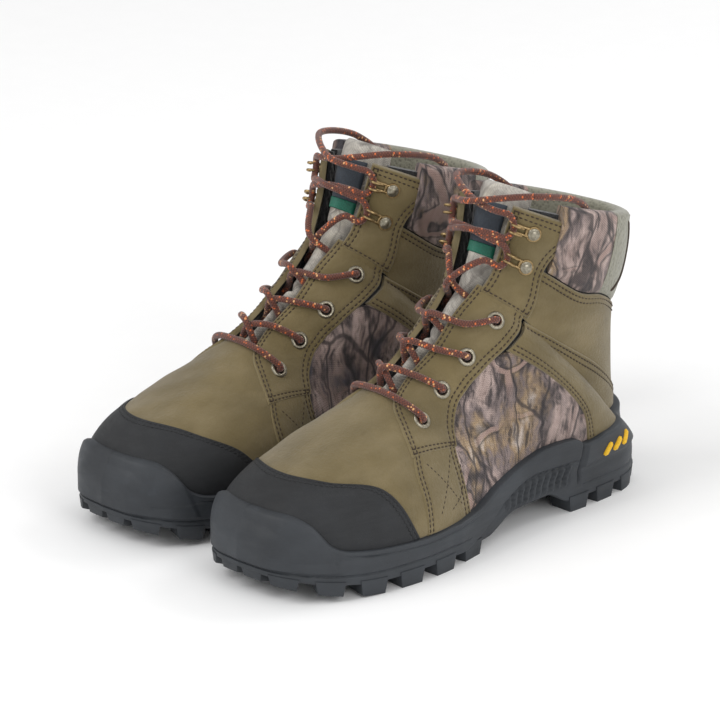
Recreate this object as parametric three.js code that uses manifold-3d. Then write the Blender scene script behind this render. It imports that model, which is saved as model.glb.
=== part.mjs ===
// Pair of insulated hunting boots, millimetres, +Z up, toes toward -Y, soles on z = 0.
// Each boot is drawn once in its own frame (x to the outer side, toe at -y) and mirrored for the right foot.
import * as THREE from 'three';
import { mergeVertices } from 'three/addons/utils/BufferGeometryUtils.js';
import Module from 'manifold-3d';

const wasm = await Module();
wasm.setup();

// ---------- driving dimensions ----------
const SOLE_LENGTH = 308;         // outsole, toe to heel
const BOOT_SPACING = 118;        // centre to centre
const SKIN = 0.3;                // gap kept between touching pieces
const LEATHER = 2.2;             // panel thickness
const FEATHER_INSET = 6;         // outsole edge to the line where the upper starts
const LUG_DEPTH = 8;
const PLATE_TOP = 17;            // top of the outsole's flat plate
const MIDSOLE_TOP = 24;
const LACE_D = 3.6;
const EYELET_R = 6.3;
const EYELET_HOLE_R = 3.7;
const SEAT_R = 5.15;             // hole in the leather that an eyelet's barrel stands in
const SOLE_CLEARANCE = 0.7;      // how far the panels are lowered when the sole is cut to fit them

// Half outlines of the outsole, toe tip to heel tip: [half-width, y]
const OUTER_SIDE = [[0, -154], [24, -150], [41, -134], [53, -107], [58, -75], [58, -45],
  [52, -14], [46, 18], [42.5, 52], [41.5, 100], [36, 132], [21, 149], [0, 154]];
const INNER_SIDE = [[0, -154], [22, -151], [38, -138], [49, -110], [54, -75], [53, -45],
  [45, -10], [38, 25], [36, 60], [38, 100], [35, 130], [21, 149], [0, 154]];

// Stations along the upper. q: how far round the sole outline; seam: lower edge or back seam;
// top: top centre line; shut: 0 open arch .. 1 closed shaft; wide: shaft half-width; round: squareness
const STATIONS = {
  s: [0, 0.07, 0.2, 0.34, 0.47, 0.58, 0.66, 0.74, 0.87, 1],
  q: [0, 0.13, 0.27, 0.43, 0.62, 0.8, 0.9, 1, 1, 1],
  seamY: [146, 146, 146, 146, 146, 146, 146, 147, 139, 146],
  seamZ: [26, 25, 25, 25, 25, 25, 25, 27, 98, 166],
  topY: [-148, -138, -100, -58, -28, -4, 11, 22, 33, 40],
  topZ: [28, 55, 73, 89, 106, 122, 134, 147, 171, 197],
  shut: [0, 0, 0, 0, 0.1, 0.3, 0.5, 0.75, 0.95, 1],
  wide: [0, 0, 0, 0, 4, 13, 22, 33, 35, 39],
  round: [0.8, 0.82, 0.86, 0.95, 1.1, 1.1, 1.05, 1, 1, 1],
};

// ---------- curves ----------
// Smooth curve through values at rising knots (cubic pieces with averaged slopes)
function through(knots, values, at) {
  const last = knots.length - 1;
  const x = Math.min(Math.max(at, knots[0]), knots[last]);
  let i = 0;
  while (i < last - 1 && x > knots[i + 1]) i += 1;
  const slope = (j) => {
    const a = Math.max(j - 1, 0);
    const b = Math.min(j + 1, last);
    return (values[b] - values[a]) / (knots[b] - knots[a]);
  };
  const h = knots[i + 1] - knots[i];
  const u = (x - knots[i]) / h;
  const u2 = u * u;
  const u3 = u2 * u;
  return values[i] * (2 * u3 - 3 * u2 + 1) + slope(i) * h * (u3 - 2 * u2 + u)
    + values[i + 1] * (3 * u2 - 2 * u3) + slope(i + 1) * h * (u3 - u2);
}

function halfOutline(points) {
  const curve = new THREE.CatmullRomCurve3(
    points.map(([x, y]) => new THREE.Vector3(x, y, 0)), false, 'centripetal');
  curve.arcLengthDivisions = 400;
  return curve;
}
const outer = halfOutline(OUTER_SIDE);
const inner = halfOutline(INNER_SIDE);

// Point of the sole outline, moved in by inset; side is +1 outer, -1 inner
function outlinePoint(side, q, inset) {
  const curve = side > 0 ? outer : inner;
  const p = curve.getPointAt(q);
  const t = curve.getTangentAt(q);
  return new THREE.Vector2(side * Math.max(p.x - inset * t.y, 0), p.y + inset * t.x);
}

function outlineLoop(inset, steps = 20, from = 0, to = 1) {
  const loop = [];
  for (let i = 0; i <= steps; i += 1) loop.push(outlinePoint(1, from + (to - from) * i / steps, inset));
  for (let i = steps; i >= 0; i -= 1) loop.push(outlinePoint(-1, from + (to - from) * i / steps, inset));
  return loop.filter((p, i) => i === 0 || p.distanceTo(loop[i - 1]) > 0.5)
    .filter((p, i, all) => i < all.length - 1 || p.distanceTo(all[0]) > 0.5);
}

// ---------- the upper's surface ----------
// s runs from toe to collar top; around is 0 on the top centre line, +1 at the outer lower edge or
// back seam and -1 at the inner one. Past +-1 it carries on round the back seam.
function upperPoint(s, around) {
  let a = around;
  if (a > 1) a -= 2;
  if (a < -1) a += 2;
  const side = a >= 0 ? 1 : -1;
  const at = (name) => through(STATIONS.s, STATIONS[name], s);
  const q = Math.min(at('q'), 1);
  const foot = outlinePoint(side, q, FEATHER_INSET);
  const onSeam = s >= 0.74;
  const lowY = onSeam ? at('seamY') : foot.y;
  const lowX = onSeam ? 0 : foot.x;
  const lowZ = at('seamZ');
  const theta = (1 - Math.abs(a)) * Math.PI / 2;
  const power = at('round');
  const shut = at('shut');
  const v = (1 - shut) * Math.sin(theta) ** power + shut * Math.sin(theta) ** 2;
  const x = lowX * Math.max(Math.cos(theta), 0) ** power + side * at('wide') * Math.sin(2 * theta);
  return new THREE.Vector3(x, lowY + (at('topY') - lowY) * v, lowZ + (at('topZ') - lowZ) * v);
}

function upperNormal(s, around) {
  const h = 0.004;
  const along = upperPoint(Math.min(s + h, 1), around).sub(upperPoint(Math.max(s - h, 0.001), around));
  const across = upperPoint(s, around + h).sub(upperPoint(s, around - h));
  return across.cross(along).normalize();
}

function offsetPoint(s, around, out) {
  return upperPoint(s, around).addScaledVector(upperNormal(s, around), out);
}

// Slopes of the surface at a place, for setting hardware on it
function seat(s, around, out) {
  const z = upperNormal(s, around);
  const x = upperPoint(s, around + 0.01).sub(upperPoint(s, around - 0.01)).normalize();
  const y = new THREE.Vector3().crossVectors(z, x).normalize();
  x.crossVectors(y, z).normalize();
  return new THREE.Matrix4().makeBasis(x, y, z).setPosition(offsetPoint(s, around, out));
}

// ---------- solids ----------
function signedVolume(positions, triangles) {
  let total = 0;
  const corner = (k) => new THREE.Vector3().fromArray(positions, 3 * k);
  for (let i = 0; i < triangles.length; i += 3) {
    total += corner(triangles[i]).dot(corner(triangles[i + 1]).cross(corner(triangles[i + 2])));
  }
  return total / 6;
}

// A closed geometry with its faces pointing out
function closedGeometry(positions, triangles) {
  if (signedVolume(positions, triangles) < 0) triangles.reverse();
  const geometry = new THREE.BufferGeometry();
  geometry.setAttribute('position', new THREE.Float32BufferAttribute(positions, 3));
  geometry.setIndex(triangles);
  return geometry;
}

// A thick sheet: point(u, v, layer) gives its two faces (layer 0 inside, 1 outside)
function sheet(point, nu, nv) {
  const positions = [];
  const triangles = [];
  const id = (i, j, layer) => (layer * (nu + 1) + i) * (nv + 1) + j;
  for (let layer = 0; layer < 2; layer += 1) {
    for (let i = 0; i <= nu; i += 1) {
      for (let j = 0; j <= nv; j += 1) positions.push(...point(i / nu, j / nv, layer).toArray());
    }
  }
  const quad = (a, b, c, d) => triangles.push(a, b, c, a, c, d);
  for (let i = 0; i < nu; i += 1) {
    for (let j = 0; j < nv; j += 1) {
      quad(id(i, j, 1), id(i + 1, j, 1), id(i + 1, j + 1, 1), id(i, j + 1, 1));
      quad(id(i, j, 0), id(i, j + 1, 0), id(i + 1, j + 1, 0), id(i + 1, j, 0));
    }
    quad(id(i, 0, 0), id(i + 1, 0, 0), id(i + 1, 0, 1), id(i, 0, 1));
    quad(id(i, nv, 1), id(i + 1, nv, 1), id(i + 1, nv, 0), id(i, nv, 0));
  }
  for (let j = 0; j < nv; j += 1) {
    quad(id(0, j, 1), id(0, j + 1, 1), id(0, j + 1, 0), id(0, j, 0));
    quad(id(nu, j, 0), id(nu, j + 1, 0), id(nu, j + 1, 1), id(nu, j, 1));
  }
  return closedGeometry(positions, triangles);
}

// A panel ruled between two edges drawn on the upper as lists of [s, around]
function panel(edgeA, edgeB, inside, outside, nu, nv) {
  const onEdge = (edge, u) => {
    const knots = edge.map((_, i) => i / (edge.length - 1));
    return [0, 1].map((k) => through(knots, edge.map((p) => p[k]), u));
  };
  return sheet((u, v, layer) => {
    const a = onEdge(edgeA, u);
    const b = onEdge(edgeB, u);
    return offsetPoint(a[0] + (b[0] - a[0]) * v, a[1] + (b[1] - a[1]) * v, layer ? outside : inside);
  }, nu, nv);
}

function extrude(points, bottom, top) {
  const settings = { depth: top - bottom, bevelEnabled: false };
  const geometry = new THREE.ExtrudeGeometry(new THREE.Shape(points), settings);
  return geometry.translate(0, 0, bottom);
}

function toSolid(geometry) {
  const bare = geometry.clone();
  bare.deleteAttribute('normal');
  bare.deleteAttribute('uv');
  const merged = mergeVertices(bare, 1e-4);
  const solid = new wasm.Manifold(new wasm.Mesh({ numProp: 3,
    vertProperties: new Float32Array(merged.attributes.position.array),
    triVerts: new Uint32Array(merged.index.array) }));
  return solid;
}

function fromSolid(solid) {
  const mesh = solid.getMesh();
  return closedGeometry(Array.from(mesh.vertProperties), Array.from(mesh.triVerts));
}

// Everything inside the upper's surface moved out by a distance, as one solid
function lastSolid(out) {
  const rings = 16;
  const round = 16;
  const positions = [];
  const triangles = [];
  for (let i = 0; i <= rings; i += 1) {
    const s = 0.012 + 0.988 * i / rings;
    for (let j = 0; j <= round; j += 1) {
      const around = -1 + 2 * j / round;
      const p = offsetPoint(s, around * 0.998, out);
      positions.push(p.x, p.y, p.z);
    }
  }
  const id = (i, j) => i * (round + 1) + j;
  for (let i = 0; i < rings; i += 1) {
    for (let j = 0; j < round; j += 1) {
      triangles.push(id(i, j), id(i + 1, j + 1), id(i + 1, j), id(i, j), id(i, j + 1), id(i + 1, j + 1));
    }
    triangles.push(id(i, round), id(i + 1, 0), id(i + 1, round), id(i, round), id(i, 0), id(i + 1, 0));
  }
  for (let j = 1; j < round; j += 1) {
    triangles.push(id(0, 0), id(0, j + 1), id(0, j));
    triangles.push(id(rings, 0), id(rings, j), id(rings, j + 1));
  }
  return closedGeometry(positions, triangles);
}

// ---------- pattern lines, as [s, around] on the outer side ----------
const TOE_SEAM = [[0.25, -0.96], [0.22, -0.72], [0.165, -0.42], [0.13, 0], [0.16, 0.34],
  [0.235, 0.62], [0.258, 0.96]];
const TOE_FRONT = [-0.96, -0.65, -0.32, 0, 0.32, 0.65, 0.96].map((a) => [0.035, a]);
const STRAP_FRONT = [[0.372, 0.22], [0.329, 0.43], [0.305, 0.64], [0.29, 0.83], [0.277, 0.96]];
const STRAP_BACK = [[0.478, 0.44], [0.44, 0.52], [0.41, 0.64], [0.39, 0.79], [0.375, 0.96]];
const THROAT = [[0.39, 0.2], [0.44, 0.15], [0.54, 0.115], [0.65, 0.08], [0.735, 0.1]];
const EYESTAY_BACK = [[0.34, 0.45], [0.478, 0.44], [0.546, 0.367], [0.623, 0.326], [0.735, 0.3]];
const CAMO_TOP = [[0.5, 0.46], [0.56, 0.39], [0.615, 0.43], [0.632, 0.6], [0.6, 0.76], [0.57, 0.96]];
const CAMO_FRONT = [[0.488, 0.47], [0.45, 0.54], [0.42, 0.65], [0.4, 0.79], [0.385, 0.96]];
const QUARTER_TOP = [[0.745, 0.315], [0.76, 0.42], [0.785, 0.6], [0.79, 0.75], [0.785, 1]];
const QUARTER_LOW = [[0.645, 0.35], [0.65, 0.55], [0.63, 0.72], [0.59, 0.93], [0.65, 0.93],
  [0.7, 0.94], [0.765, 1]];
const COLLAR_LINE = [[0.87, 0.37], [0.87, 0.5], [0.888, 0.64], [0.89, 0.82], [0.89, 1]];
const EYELETS = [[0.394, 0.4], [0.479, 0.333], [0.569, 0.262], [0.686, 0.225]];
const HOOKS = [[0.86, 0.265], [0.94, 0.265]];
const GAP = 0.005;               // seam gap between neighbouring panels, as a share of s

const onSide = (line, side) => line.map(([s, a]) => [s, a * side]);
const shifted = (line, ds) => line.map(([s, a]) => [s + ds, a]);

// A line carried round the back seam to the same line on the inner side
const roundBack = (line) => [...line, ...line.slice(0, -1).reverse().map(([s, a]) => [s, 2 - a])];

// ---------- the sole ----------
const GUARD_TOP = [[-170, 52], [-146, 52], [-134, 46], [-124, 34], [-112, 29], [-75, 25.5], [-45, 25],
  [-12, 28], [9, 35], [37, 44], [52, 48], [74, 48], [84, 43], [100, 46], [130, 48], [170, 49]];
const TOE_LIFT = 13;             // height of the outsole's tip off the ground
const LIFT_START = -85;
const HEEL_LIFT = 3;
const LIFT_FADES_AT = 16;         // height where the toe and heel spring have faded out
const RIM_TOP = 29;
const WALL_INSIDE = LEATHER + 1;
const WALL = 3;

function lift(y) {
  const toe = Math.max((LIFT_START - y) / (SOLE_LENGTH / 2 + LIFT_START), 0);
  const heel = Math.max((y - 125) / 29, 0);
  return TOE_LIFT * toe ** 2 + HEEL_LIFT * heel ** 2;
}

// Side wall: a shell round the upper, trimmed by its profile in the side view
function soleWall() {
  const profile = [[170, 12], ...[...GUARD_TOP].reverse(), [-170, 12]].reverse();
  const trim = extrude(profile.map(([y, z]) => new THREE.Vector2(y, z)), -90, 90);
  trim.applyMatrix4(new THREE.Matrix4().makeBasis(
    new THREE.Vector3(0, 1, 0), new THREE.Vector3(0, 0, 1), new THREE.Vector3(1, 0, 0)));
  const shell = toSolid(lastSolid(WALL_INSIDE + WALL)).subtract(toSolid(lastSolid(WALL_INSIDE)));
  const footprint = toSolid(extrude(outlineLoop(WALL_INSIDE + SKIN, 18), 10, 27));
  return shell.intersect(toSolid(trim)).subtract(footprint);
}

// One tread lug from the edge inward, between two places along the outline
function lug(side, from, to, depth) {
  const points = [outlinePoint(side, from, 0.4), outlinePoint(side, to, 0.4),
    outlinePoint(side, to - 0.006, depth), outlinePoint(side, from + 0.006, depth)];
  if (side < 0) points.reverse();
  return toSolid(extrude(points, 0, LUG_DEPTH + 1));
}

function bar(x0, x1, y0, y1, slant) {
  const points = [[x0, y0], [x1, y0 + slant], [x1, y1 + slant], [x0, y1]]
    .map(([x, y]) => new THREE.Vector2(x, y));
  return toSolid(extrude(points, 0, LUG_DEPTH + 1));
}

// Every panel that runs down to the sole, as its two edges and its divisions
const VAMP_BACK = [...onSide(STRAP_FRONT, -1).reverse(), [0.37, 0], ...STRAP_FRONT];
const TOE_CAP = [shifted(TOE_SEAM, -GAP), TOE_FRONT, 14, 5];
const VAMP = [shifted(VAMP_BACK, -GAP), TOE_SEAM, 14, 5];
const STRAP = (side) => [onSide(STRAP_FRONT, side), onSide(STRAP_BACK, side), 8, 2];
const SIDE_PANEL = (side, grow = -GAP) => [
  onSide(shifted(CAMO_TOP, grow), side), onSide(CAMO_FRONT, side), 10, 4];
const HEEL_QUARTER = [roundBack(shifted(QUARTER_TOP, -GAP)), roundBack(QUARTER_LOW), 24, 4];
const LOWER_PANELS = [TOE_CAP, VAMP, STRAP(1), STRAP(-1), SIDE_PANEL(1, 2 * GAP),
  SIDE_PANEL(-1, 2 * GAP), HEEL_QUARTER];

const FOREFOOT_LUGS = 6;
const HEEL_LUGS = 4;

function outsole() {
  const plate = toSolid(extrude(outlineLoop(0.5, 18), LUG_DEPTH, PLATE_TOP));
  const rim = toSolid(extrude(outlineLoop(0, 18), LUG_DEPTH + 1, RIM_TOP))
    .subtract(toSolid(extrude(outlineLoop(FEATHER_INSET - WALL_INSIDE, 18), PLATE_TOP, RIM_TOP + 1)));
  let solid = plate.add(rim).add(soleWall());
  for (const side of [1, -1]) {
    for (let i = 0; i < FOREFOOT_LUGS; i += 1) {
      const from = 0.06 + i * 0.075;
      solid = solid.add(lug(side, from, from + 0.052, 20));
    }
    for (let i = 0; i < HEEL_LUGS; i += 1) {
      const from = 0.715 + i * 0.066;
      solid = solid.add(lug(side, from, from + 0.048, 17));
    }
  }
  for (const y of [-118, -90, -62, -34]) {
    solid = solid.add(bar(-22, 0, y, y + 12, 7)).add(bar(-0.5, 22, y + 7, y + 19, -7));
  }
  for (const y of [82, 104]) solid = solid.add(bar(-16, 16, y, y + 12, 0));
  for (const [a, b, nu, nv] of LOWER_PANELS) {
    solid = solid.subtract(toSolid(panel(a, b, -3, OUTSIDE + 1.2, nu, nv)).translate(0, 0, -SOLE_CLEARANCE));
  }
  solid = solid.decompose().sort((a, b) => b.volume() - a.volume())[0].simplify(0.1);
  const mesh = solid.getMesh();
  for (let i = 0; i < mesh.vertProperties.length; i += 3) {
    const z = mesh.vertProperties[i + 2];
    const share = Math.max(1 - z / LIFT_FADES_AT, 0);
    mesh.vertProperties[i + 2] = z + lift(mesh.vertProperties[i + 1]) * share;
  }
  return closedGeometry(Array.from(mesh.vertProperties), Array.from(mesh.triVerts));
}

// ---------- hardware ----------
function eyelet(s, around) {
  const r = EYELET_HOLE_R;
  const profile = [[r, -0.3], [r + 0.7, -0.3], [r + 0.7, 3.2], [EYELET_R, 3.2], [r + 0.4, 4], [r, -0.3]]
    .map(([radius, z]) => new THREE.Vector2(radius, z));
  const geometry = new THREE.LatheGeometry(profile, 10).rotateX(Math.PI / 2);
  return geometry.applyMatrix4(seat(s, around, 0));
}

function hook(s, around) {
  const inward = around > 0 ? -1 : 1;      // toward the throat
  const plate = toSolid(new THREE.CylinderGeometry(4.8, 4.8, 1.2, 10).rotateX(Math.PI / 2)
    .translate(0, 0, 3.5));
  const dome = toSolid(new THREE.CylinderGeometry(2, 4, 1.8, 10).rotateX(Math.PI / 2).translate(0, 0, 4.8));
  const arm = toSolid(new THREE.BoxGeometry(11, 5, 1).translate(inward * 5.5, 0, 3.5));
  const neck = toSolid(new THREE.BoxGeometry(1.4, 5, 7).translate(inward * 11, 0, 6.5));
  const prong = toSolid(new THREE.BoxGeometry(6, 5, 1.2).translate(inward * 8.6, 0, 9.6));
  const solid = plate.add(dome).add(arm).add(neck).add(prong);
  return fromSolid(solid).applyMatrix4(seat(s, around, 0));
}

// ---------- leather, textile and padding ----------
const OUTSIDE = SKIN + LEATHER;
const drawn = ([a, b, nu, nv]) => panel(a, b, SKIN, OUTSIDE, nu, nv);

// The heel's leather, trimmed to stand just clear of the rim
function heelQuarter() {
  const below = toSolid(new THREE.BoxGeometry(200, 400, 60).translate(0, 0, RIM_TOP + SKIN - 30));
  const quarter = panel(HEEL_QUARTER[0], HEEL_QUARTER[1], SKIN, OUTSIDE - 0.8, 24, 4);
  return fromSolid(toSolid(quarter).subtract(below));
}

function eyestay(side) {
  const stay = toSolid(panel(onSide(THROAT, side), onSide(EYESTAY_BACK, side), SKIN, OUTSIDE, 12, 3));
  const strap = toSolid(drawn(STRAP(side)));
  let solid = stay.add(strap);
  for (const [s, a] of EYELETS) {
    const hole = new THREE.CylinderGeometry(SEAT_R, SEAT_R, 12, 10).rotateX(Math.PI / 2);
    solid = solid.subtract(toSolid(hole.applyMatrix4(seat(s, a * side, 0))));
  }
  return fromSolid(solid.simplify(0.05));
}

// The padded sock lining: one shell, slotted at the throat, open at the top and under the foot,
// and joined to itself up the back seam
function lining() {
  const rows = [0.045, 0.1, 0.18, 0.27, 0.35, 0.43, 0.52, 0.61, 0.68, 0.74, 0.8, 0.87, 0.93, 0.985];
  const columns = [-0.96, -0.84, -0.68, -0.5, -0.25, 0, 0.25, 0.5, 0.68, 0.84, 0.96];
  const layers = [-5.2, -2.2];
  const throatRow = 4;
  const seamRow = 9;
  const width = columns.length;
  const size = rows.length * (width + 1);
  const positions = [];
  for (const out of layers) {
    for (const s of rows) {
      for (const a of [...columns, 1]) positions.push(...offsetPoint(s, a, out).toArray());
    }
  }
  const id = (i, j, layer) => layer * size + i * (width + 1) + ((j + width + 1) % (width + 1));
  const faces = [];
  for (let i = 0; i < rows.length - 1; i += 1) {
    for (let j = -1; j < width; j += 1) {
      const besideSeam = j === -1 || j === width - 1;
      const inSlot = i >= throatRow && j >= 3 && j <= 6;
      if (inSlot || (besideSeam && i < seamRow)) continue;
      const corners = [[i, j], [i + 1, j], [i + 1, j + 1], [i, j + 1]];
      faces.push([corners[0], corners[1], corners[2]], [corners[0], corners[2], corners[3]]);
    }
  }
  const triangles = [];
  const edges = new Map();
  for (const face of faces) {
    const [a, b, c] = face.map(([i, j]) => id(i, j, 1));
    const [d, e, f] = face.map(([i, j]) => id(i, j, 0));
    triangles.push(a, b, c, d, f, e);
    for (const [from, to] of [[a, b], [b, c], [c, a]]) {
      if (!edges.delete(`${to},${from}`)) edges.set(`${from},${to}`, [from, to]);
    }
  }
  for (const [from, to] of edges.values()) {
    triangles.push(from, to - size, to, from, from - size, to - size);
  }
  return closedGeometry(positions, triangles);
}

function tongue() {
  const low = [-0.26, -0.13, 0, 0.13, 0.26].map((a) => [0.385, a]);
  const high = [-0.25, -0.12, 0, 0.12, 0.25].map((a) => [1, a]);
  return panel(low, high, -12, -7, 6, 10);
}

// ---------- the lace ----------
// One strand from the bottom bar to its free end: eyelets, crossings, hooks, then inside the boot
function strand(side) {
  const places = [];
  const put = (s, a, out) => places.push(offsetPoint(Math.min(s, 1), a, out));
  put(0.388, side * 0.2, 6.2);
  let over = side;
  EYELETS.forEach(([s, a], row) => {
    put(s, over * (a - 0.003), 5.4);
    put(s, over * a, 1.5);
    put(s, over * a, -2.4);
    put(s + 0.008, over * (a - 0.08), -4.4);
    put(s + 0.022, over * 0.15, -4.2);
    put(s + 0.042, 0, (row % 2 === 0) === (side > 0) ? 4.5 : 9.6);
    over = -over;
    if (row < EYELETS.length - 1) put(s + 0.064, over * 0.15, 7.2);
  });
  HOOKS.forEach(([s, a], row) => {
    put(s - 0.032, over * (a - 0.16), 6.8);
    put(s - 0.029, over * (a - 0.1), 6.8);
    put(s, over * (a - 0.078), 6.4);
    put(s + 0.029, over * (a - 0.1), 6.8);
    put(s + 0.032, over * (a - 0.16), 6.8);
    put(s + 0.04, 0, (row % 2 === 0) === (side > 0) ? 4 : 9.4);
    over = -over;
  });
  return places;
}

function laceTail(side) {
  const over = side > 0 ? 1 : -1;
  const rimHigh = offsetPoint(1, over * 0.24, 6);
  const inside = (s, out) => offsetPoint(s, over * 0.56, out);
  return [rimHigh.clone().add(new THREE.Vector3(0, 0, 7)),
    offsetPoint(1, over * 0.45, -3).add(new THREE.Vector3(0, 0, 6.5)),
    inside(0.985, -9), inside(0.93, -10), inside(0.87, -10), inside(0.8, -10), inside(0.74, -11),
    new THREE.Vector3(over * 20, 76, 46), new THREE.Vector3(over * 17, 58, 35.5),
    new THREE.Vector3(over * 12, 40, 34),
    new THREE.Vector3(over * 7, 15, 34), new THREE.Vector3(over * 8, -10, 34)];
}

function lace(diameter) {
  const outerEnd = [...strand(1), ...laceTail(1)];
  const innerEnd = [...strand(-1), ...laceTail(-1)];
  const curve = new THREE.CatmullRomCurve3([...innerEnd.reverse(), ...outerEnd], false, 'centripetal');
  curve.getPointAt = curve.getPoint;      // one ring at each place on the route
  curve.getTangentAt = curve.getTangent;
  const circle = new THREE.Shape(Array.from({ length: 8 }, (_, i) => new THREE.Vector2(
    Math.cos(i * Math.PI / 4), Math.sin(i * Math.PI / 4)).multiplyScalar(diameter / 2)));
  return new THREE.ExtrudeGeometry(circle, { steps: curve.points.length - 1, extrudePath: curve });
}

// What is left of a piece when room for the lace is cut from it
function clearOfLace(geometry) {
  const room = toSolid(lace(LACE_D + 2 * SKIN));
  const parts = toSolid(geometry).subtract(room).decompose();
  return fromSolid(parts.sort((a, b) => b.volume() - a.volume())[0]);
}

// ---------- one boot ----------
const COLORS = { leather: '#7d6e4e', camo: '#8a8078', rubber: '#32363a', lining: '#1c1c1e', metal: '#8d8a80',
  lace: '#5a2e20', foam: '#303234', board: '#8a7a60', tongue: '#9a948a' };

function bootPieces() {
  const pieces = [];
  const add = (name, geometry, material) => pieces.push({ name, geometry, material });
  add('outsole', outsole(), 'rubber');
  add('midsole', extrude(outlineLoop(FEATHER_INSET + 0.2, 20), PLATE_TOP + SKIN, MIDSOLE_TOP), 'foam');
  add('insole_board', extrude(outlineLoop(15, 14), MIDSOLE_TOP + SKIN, 26.2), 'board');
  add('footbed', extrude(outlineLoop(18, 14), 26.5, 31), 'lining');
  add('toe_cap', drawn(TOE_CAP), 'rubber');
  add('vamp', drawn(VAMP), 'leather');
  for (const side of [1, -1]) {
    const name = side > 0 ? 'outer' : 'inner';
    add(`${name}_eyestay`, clearOfLace(eyestay(side)), 'leather');
    add(`${name}_side_panel`, drawn(SIDE_PANEL(side)), 'camo');
  }
  add('heel_quarter', heelQuarter(), 'leather');
  const ankleTop = roundBack(shifted(COLLAR_LINE, -GAP));
  const anklePanel = panel(ankleTop, roundBack(QUARTER_TOP), SKIN, OUTSIDE, 20, 3);
  add('ankle_panel', anklePanel, 'leather');
  const rim = [0.4, 0.55, 0.7, 0.85, 1].map((a) => [1, a]);
  add('collar', panel(roundBack(rim), roundBack(COLLAR_LINE), SKIN, OUTSIDE + 3, 20, 3), 'camo');
  for (const side of [1, -1]) {
    const name = side > 0 ? 'outer' : 'inner';
    const front = [[0.76, 0.14], [0.85, 0.15], [1, 0.16]];
    const back = [[0.76, 0.3], [0.85, 0.35], [1, 0.385]];
    const hookPanel = panel(onSide(back, side), onSide(front, side), SKIN, OUTSIDE, 5, 3);
    add(`${name}_hook_panel`, clearOfLace(hookPanel), 'leather');
    EYELETS.forEach(([s, a], i) => add(`${name}_eyelet_${i + 1}`, clearOfLace(eyelet(s, a * side)), 'metal'));
    HOOKS.forEach(([s, a], i) => add(`${name}_hook_${i + 1}`, clearOfLace(hook(s, a * side)), 'metal'));
  }
  add('lining', lining(), 'lining');
  add('tongue', tongue(), 'tongue');
  add('lace', lace(LACE_D), 'lace');
  return pieces;
}

// ---------- the pair ----------
function mirrored(geometry) {
  const copy = geometry.clone().scale(-1, 1, 1);
  if (!copy.index) copy.setIndex(Array.from({ length: copy.attributes.position.count }, (_, i) => i));
  const index = copy.index.array;
  for (let i = 0; i < index.length; i += 3) [index[i + 1], index[i + 2]] = [index[i + 2], index[i + 1]];
  return copy;
}

const pair = new THREE.Group();
for (const foot of ['left', 'right']) {
  const boot = new THREE.Group();
  boot.position.x = foot === 'left' ? BOOT_SPACING / 2 : -BOOT_SPACING / 2;
  for (const { name, geometry, material } of bootPieces()) {
    const metal = material === 'metal';
    const mesh = new THREE.Mesh(foot === 'left' ? geometry : mirrored(geometry),
      new THREE.MeshStandardMaterial({ color: COLORS[material], roughness: metal ? 0.35 : 0.8,
        metalness: metal ? 1 : 0 }));
    mesh.name = `${foot}_${name}`;
    boot.add(mesh);
  }
  pair.add(boot);
}

export default pair;
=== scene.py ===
"""Looks of a pair of insulated hunting boots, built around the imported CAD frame.

Each boot is drawn once in its own frame in millimetres (x to the outer side, toe at -y, soles on
z = 0), placed on the left and mirrored for the right. Places on the upper are (s, around): s runs
from toe 0 to collar top 1, around is 0 on the top centre line and +-1 at the sole edge or back seam.
"""
import math

import bpy
import numpy as np
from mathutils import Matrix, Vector
from mathutils.bvhtree import BVHTree


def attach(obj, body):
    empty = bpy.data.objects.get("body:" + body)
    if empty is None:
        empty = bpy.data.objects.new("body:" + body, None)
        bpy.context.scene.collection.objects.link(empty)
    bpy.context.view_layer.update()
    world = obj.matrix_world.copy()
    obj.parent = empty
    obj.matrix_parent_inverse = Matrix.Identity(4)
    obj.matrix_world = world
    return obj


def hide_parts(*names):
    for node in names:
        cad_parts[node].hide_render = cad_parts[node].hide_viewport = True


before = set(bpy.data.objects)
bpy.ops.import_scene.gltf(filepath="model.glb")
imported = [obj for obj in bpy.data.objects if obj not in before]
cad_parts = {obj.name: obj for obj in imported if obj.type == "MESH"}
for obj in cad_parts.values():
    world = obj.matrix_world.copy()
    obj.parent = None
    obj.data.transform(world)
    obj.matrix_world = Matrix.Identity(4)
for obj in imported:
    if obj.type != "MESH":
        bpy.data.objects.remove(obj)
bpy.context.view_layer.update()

MM = 0.001
FEET = {"left": 1, "right": -1}
SIDES = {"outer": 1, "inner": -1}
BOOT_X = 59.0                    # half of the centre to centre spacing
FEATHER_INSET = 6.0              # outsole edge to the line where the upper starts
SKIN = 0.3                       # how far every panel's inner face is off the last
UNDER = 2.1                      # outer face of the panels that lie below others
OVER = 3.4                       # outer face of the panels stitched on top
EYELET_HOLE = 3.3

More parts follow.
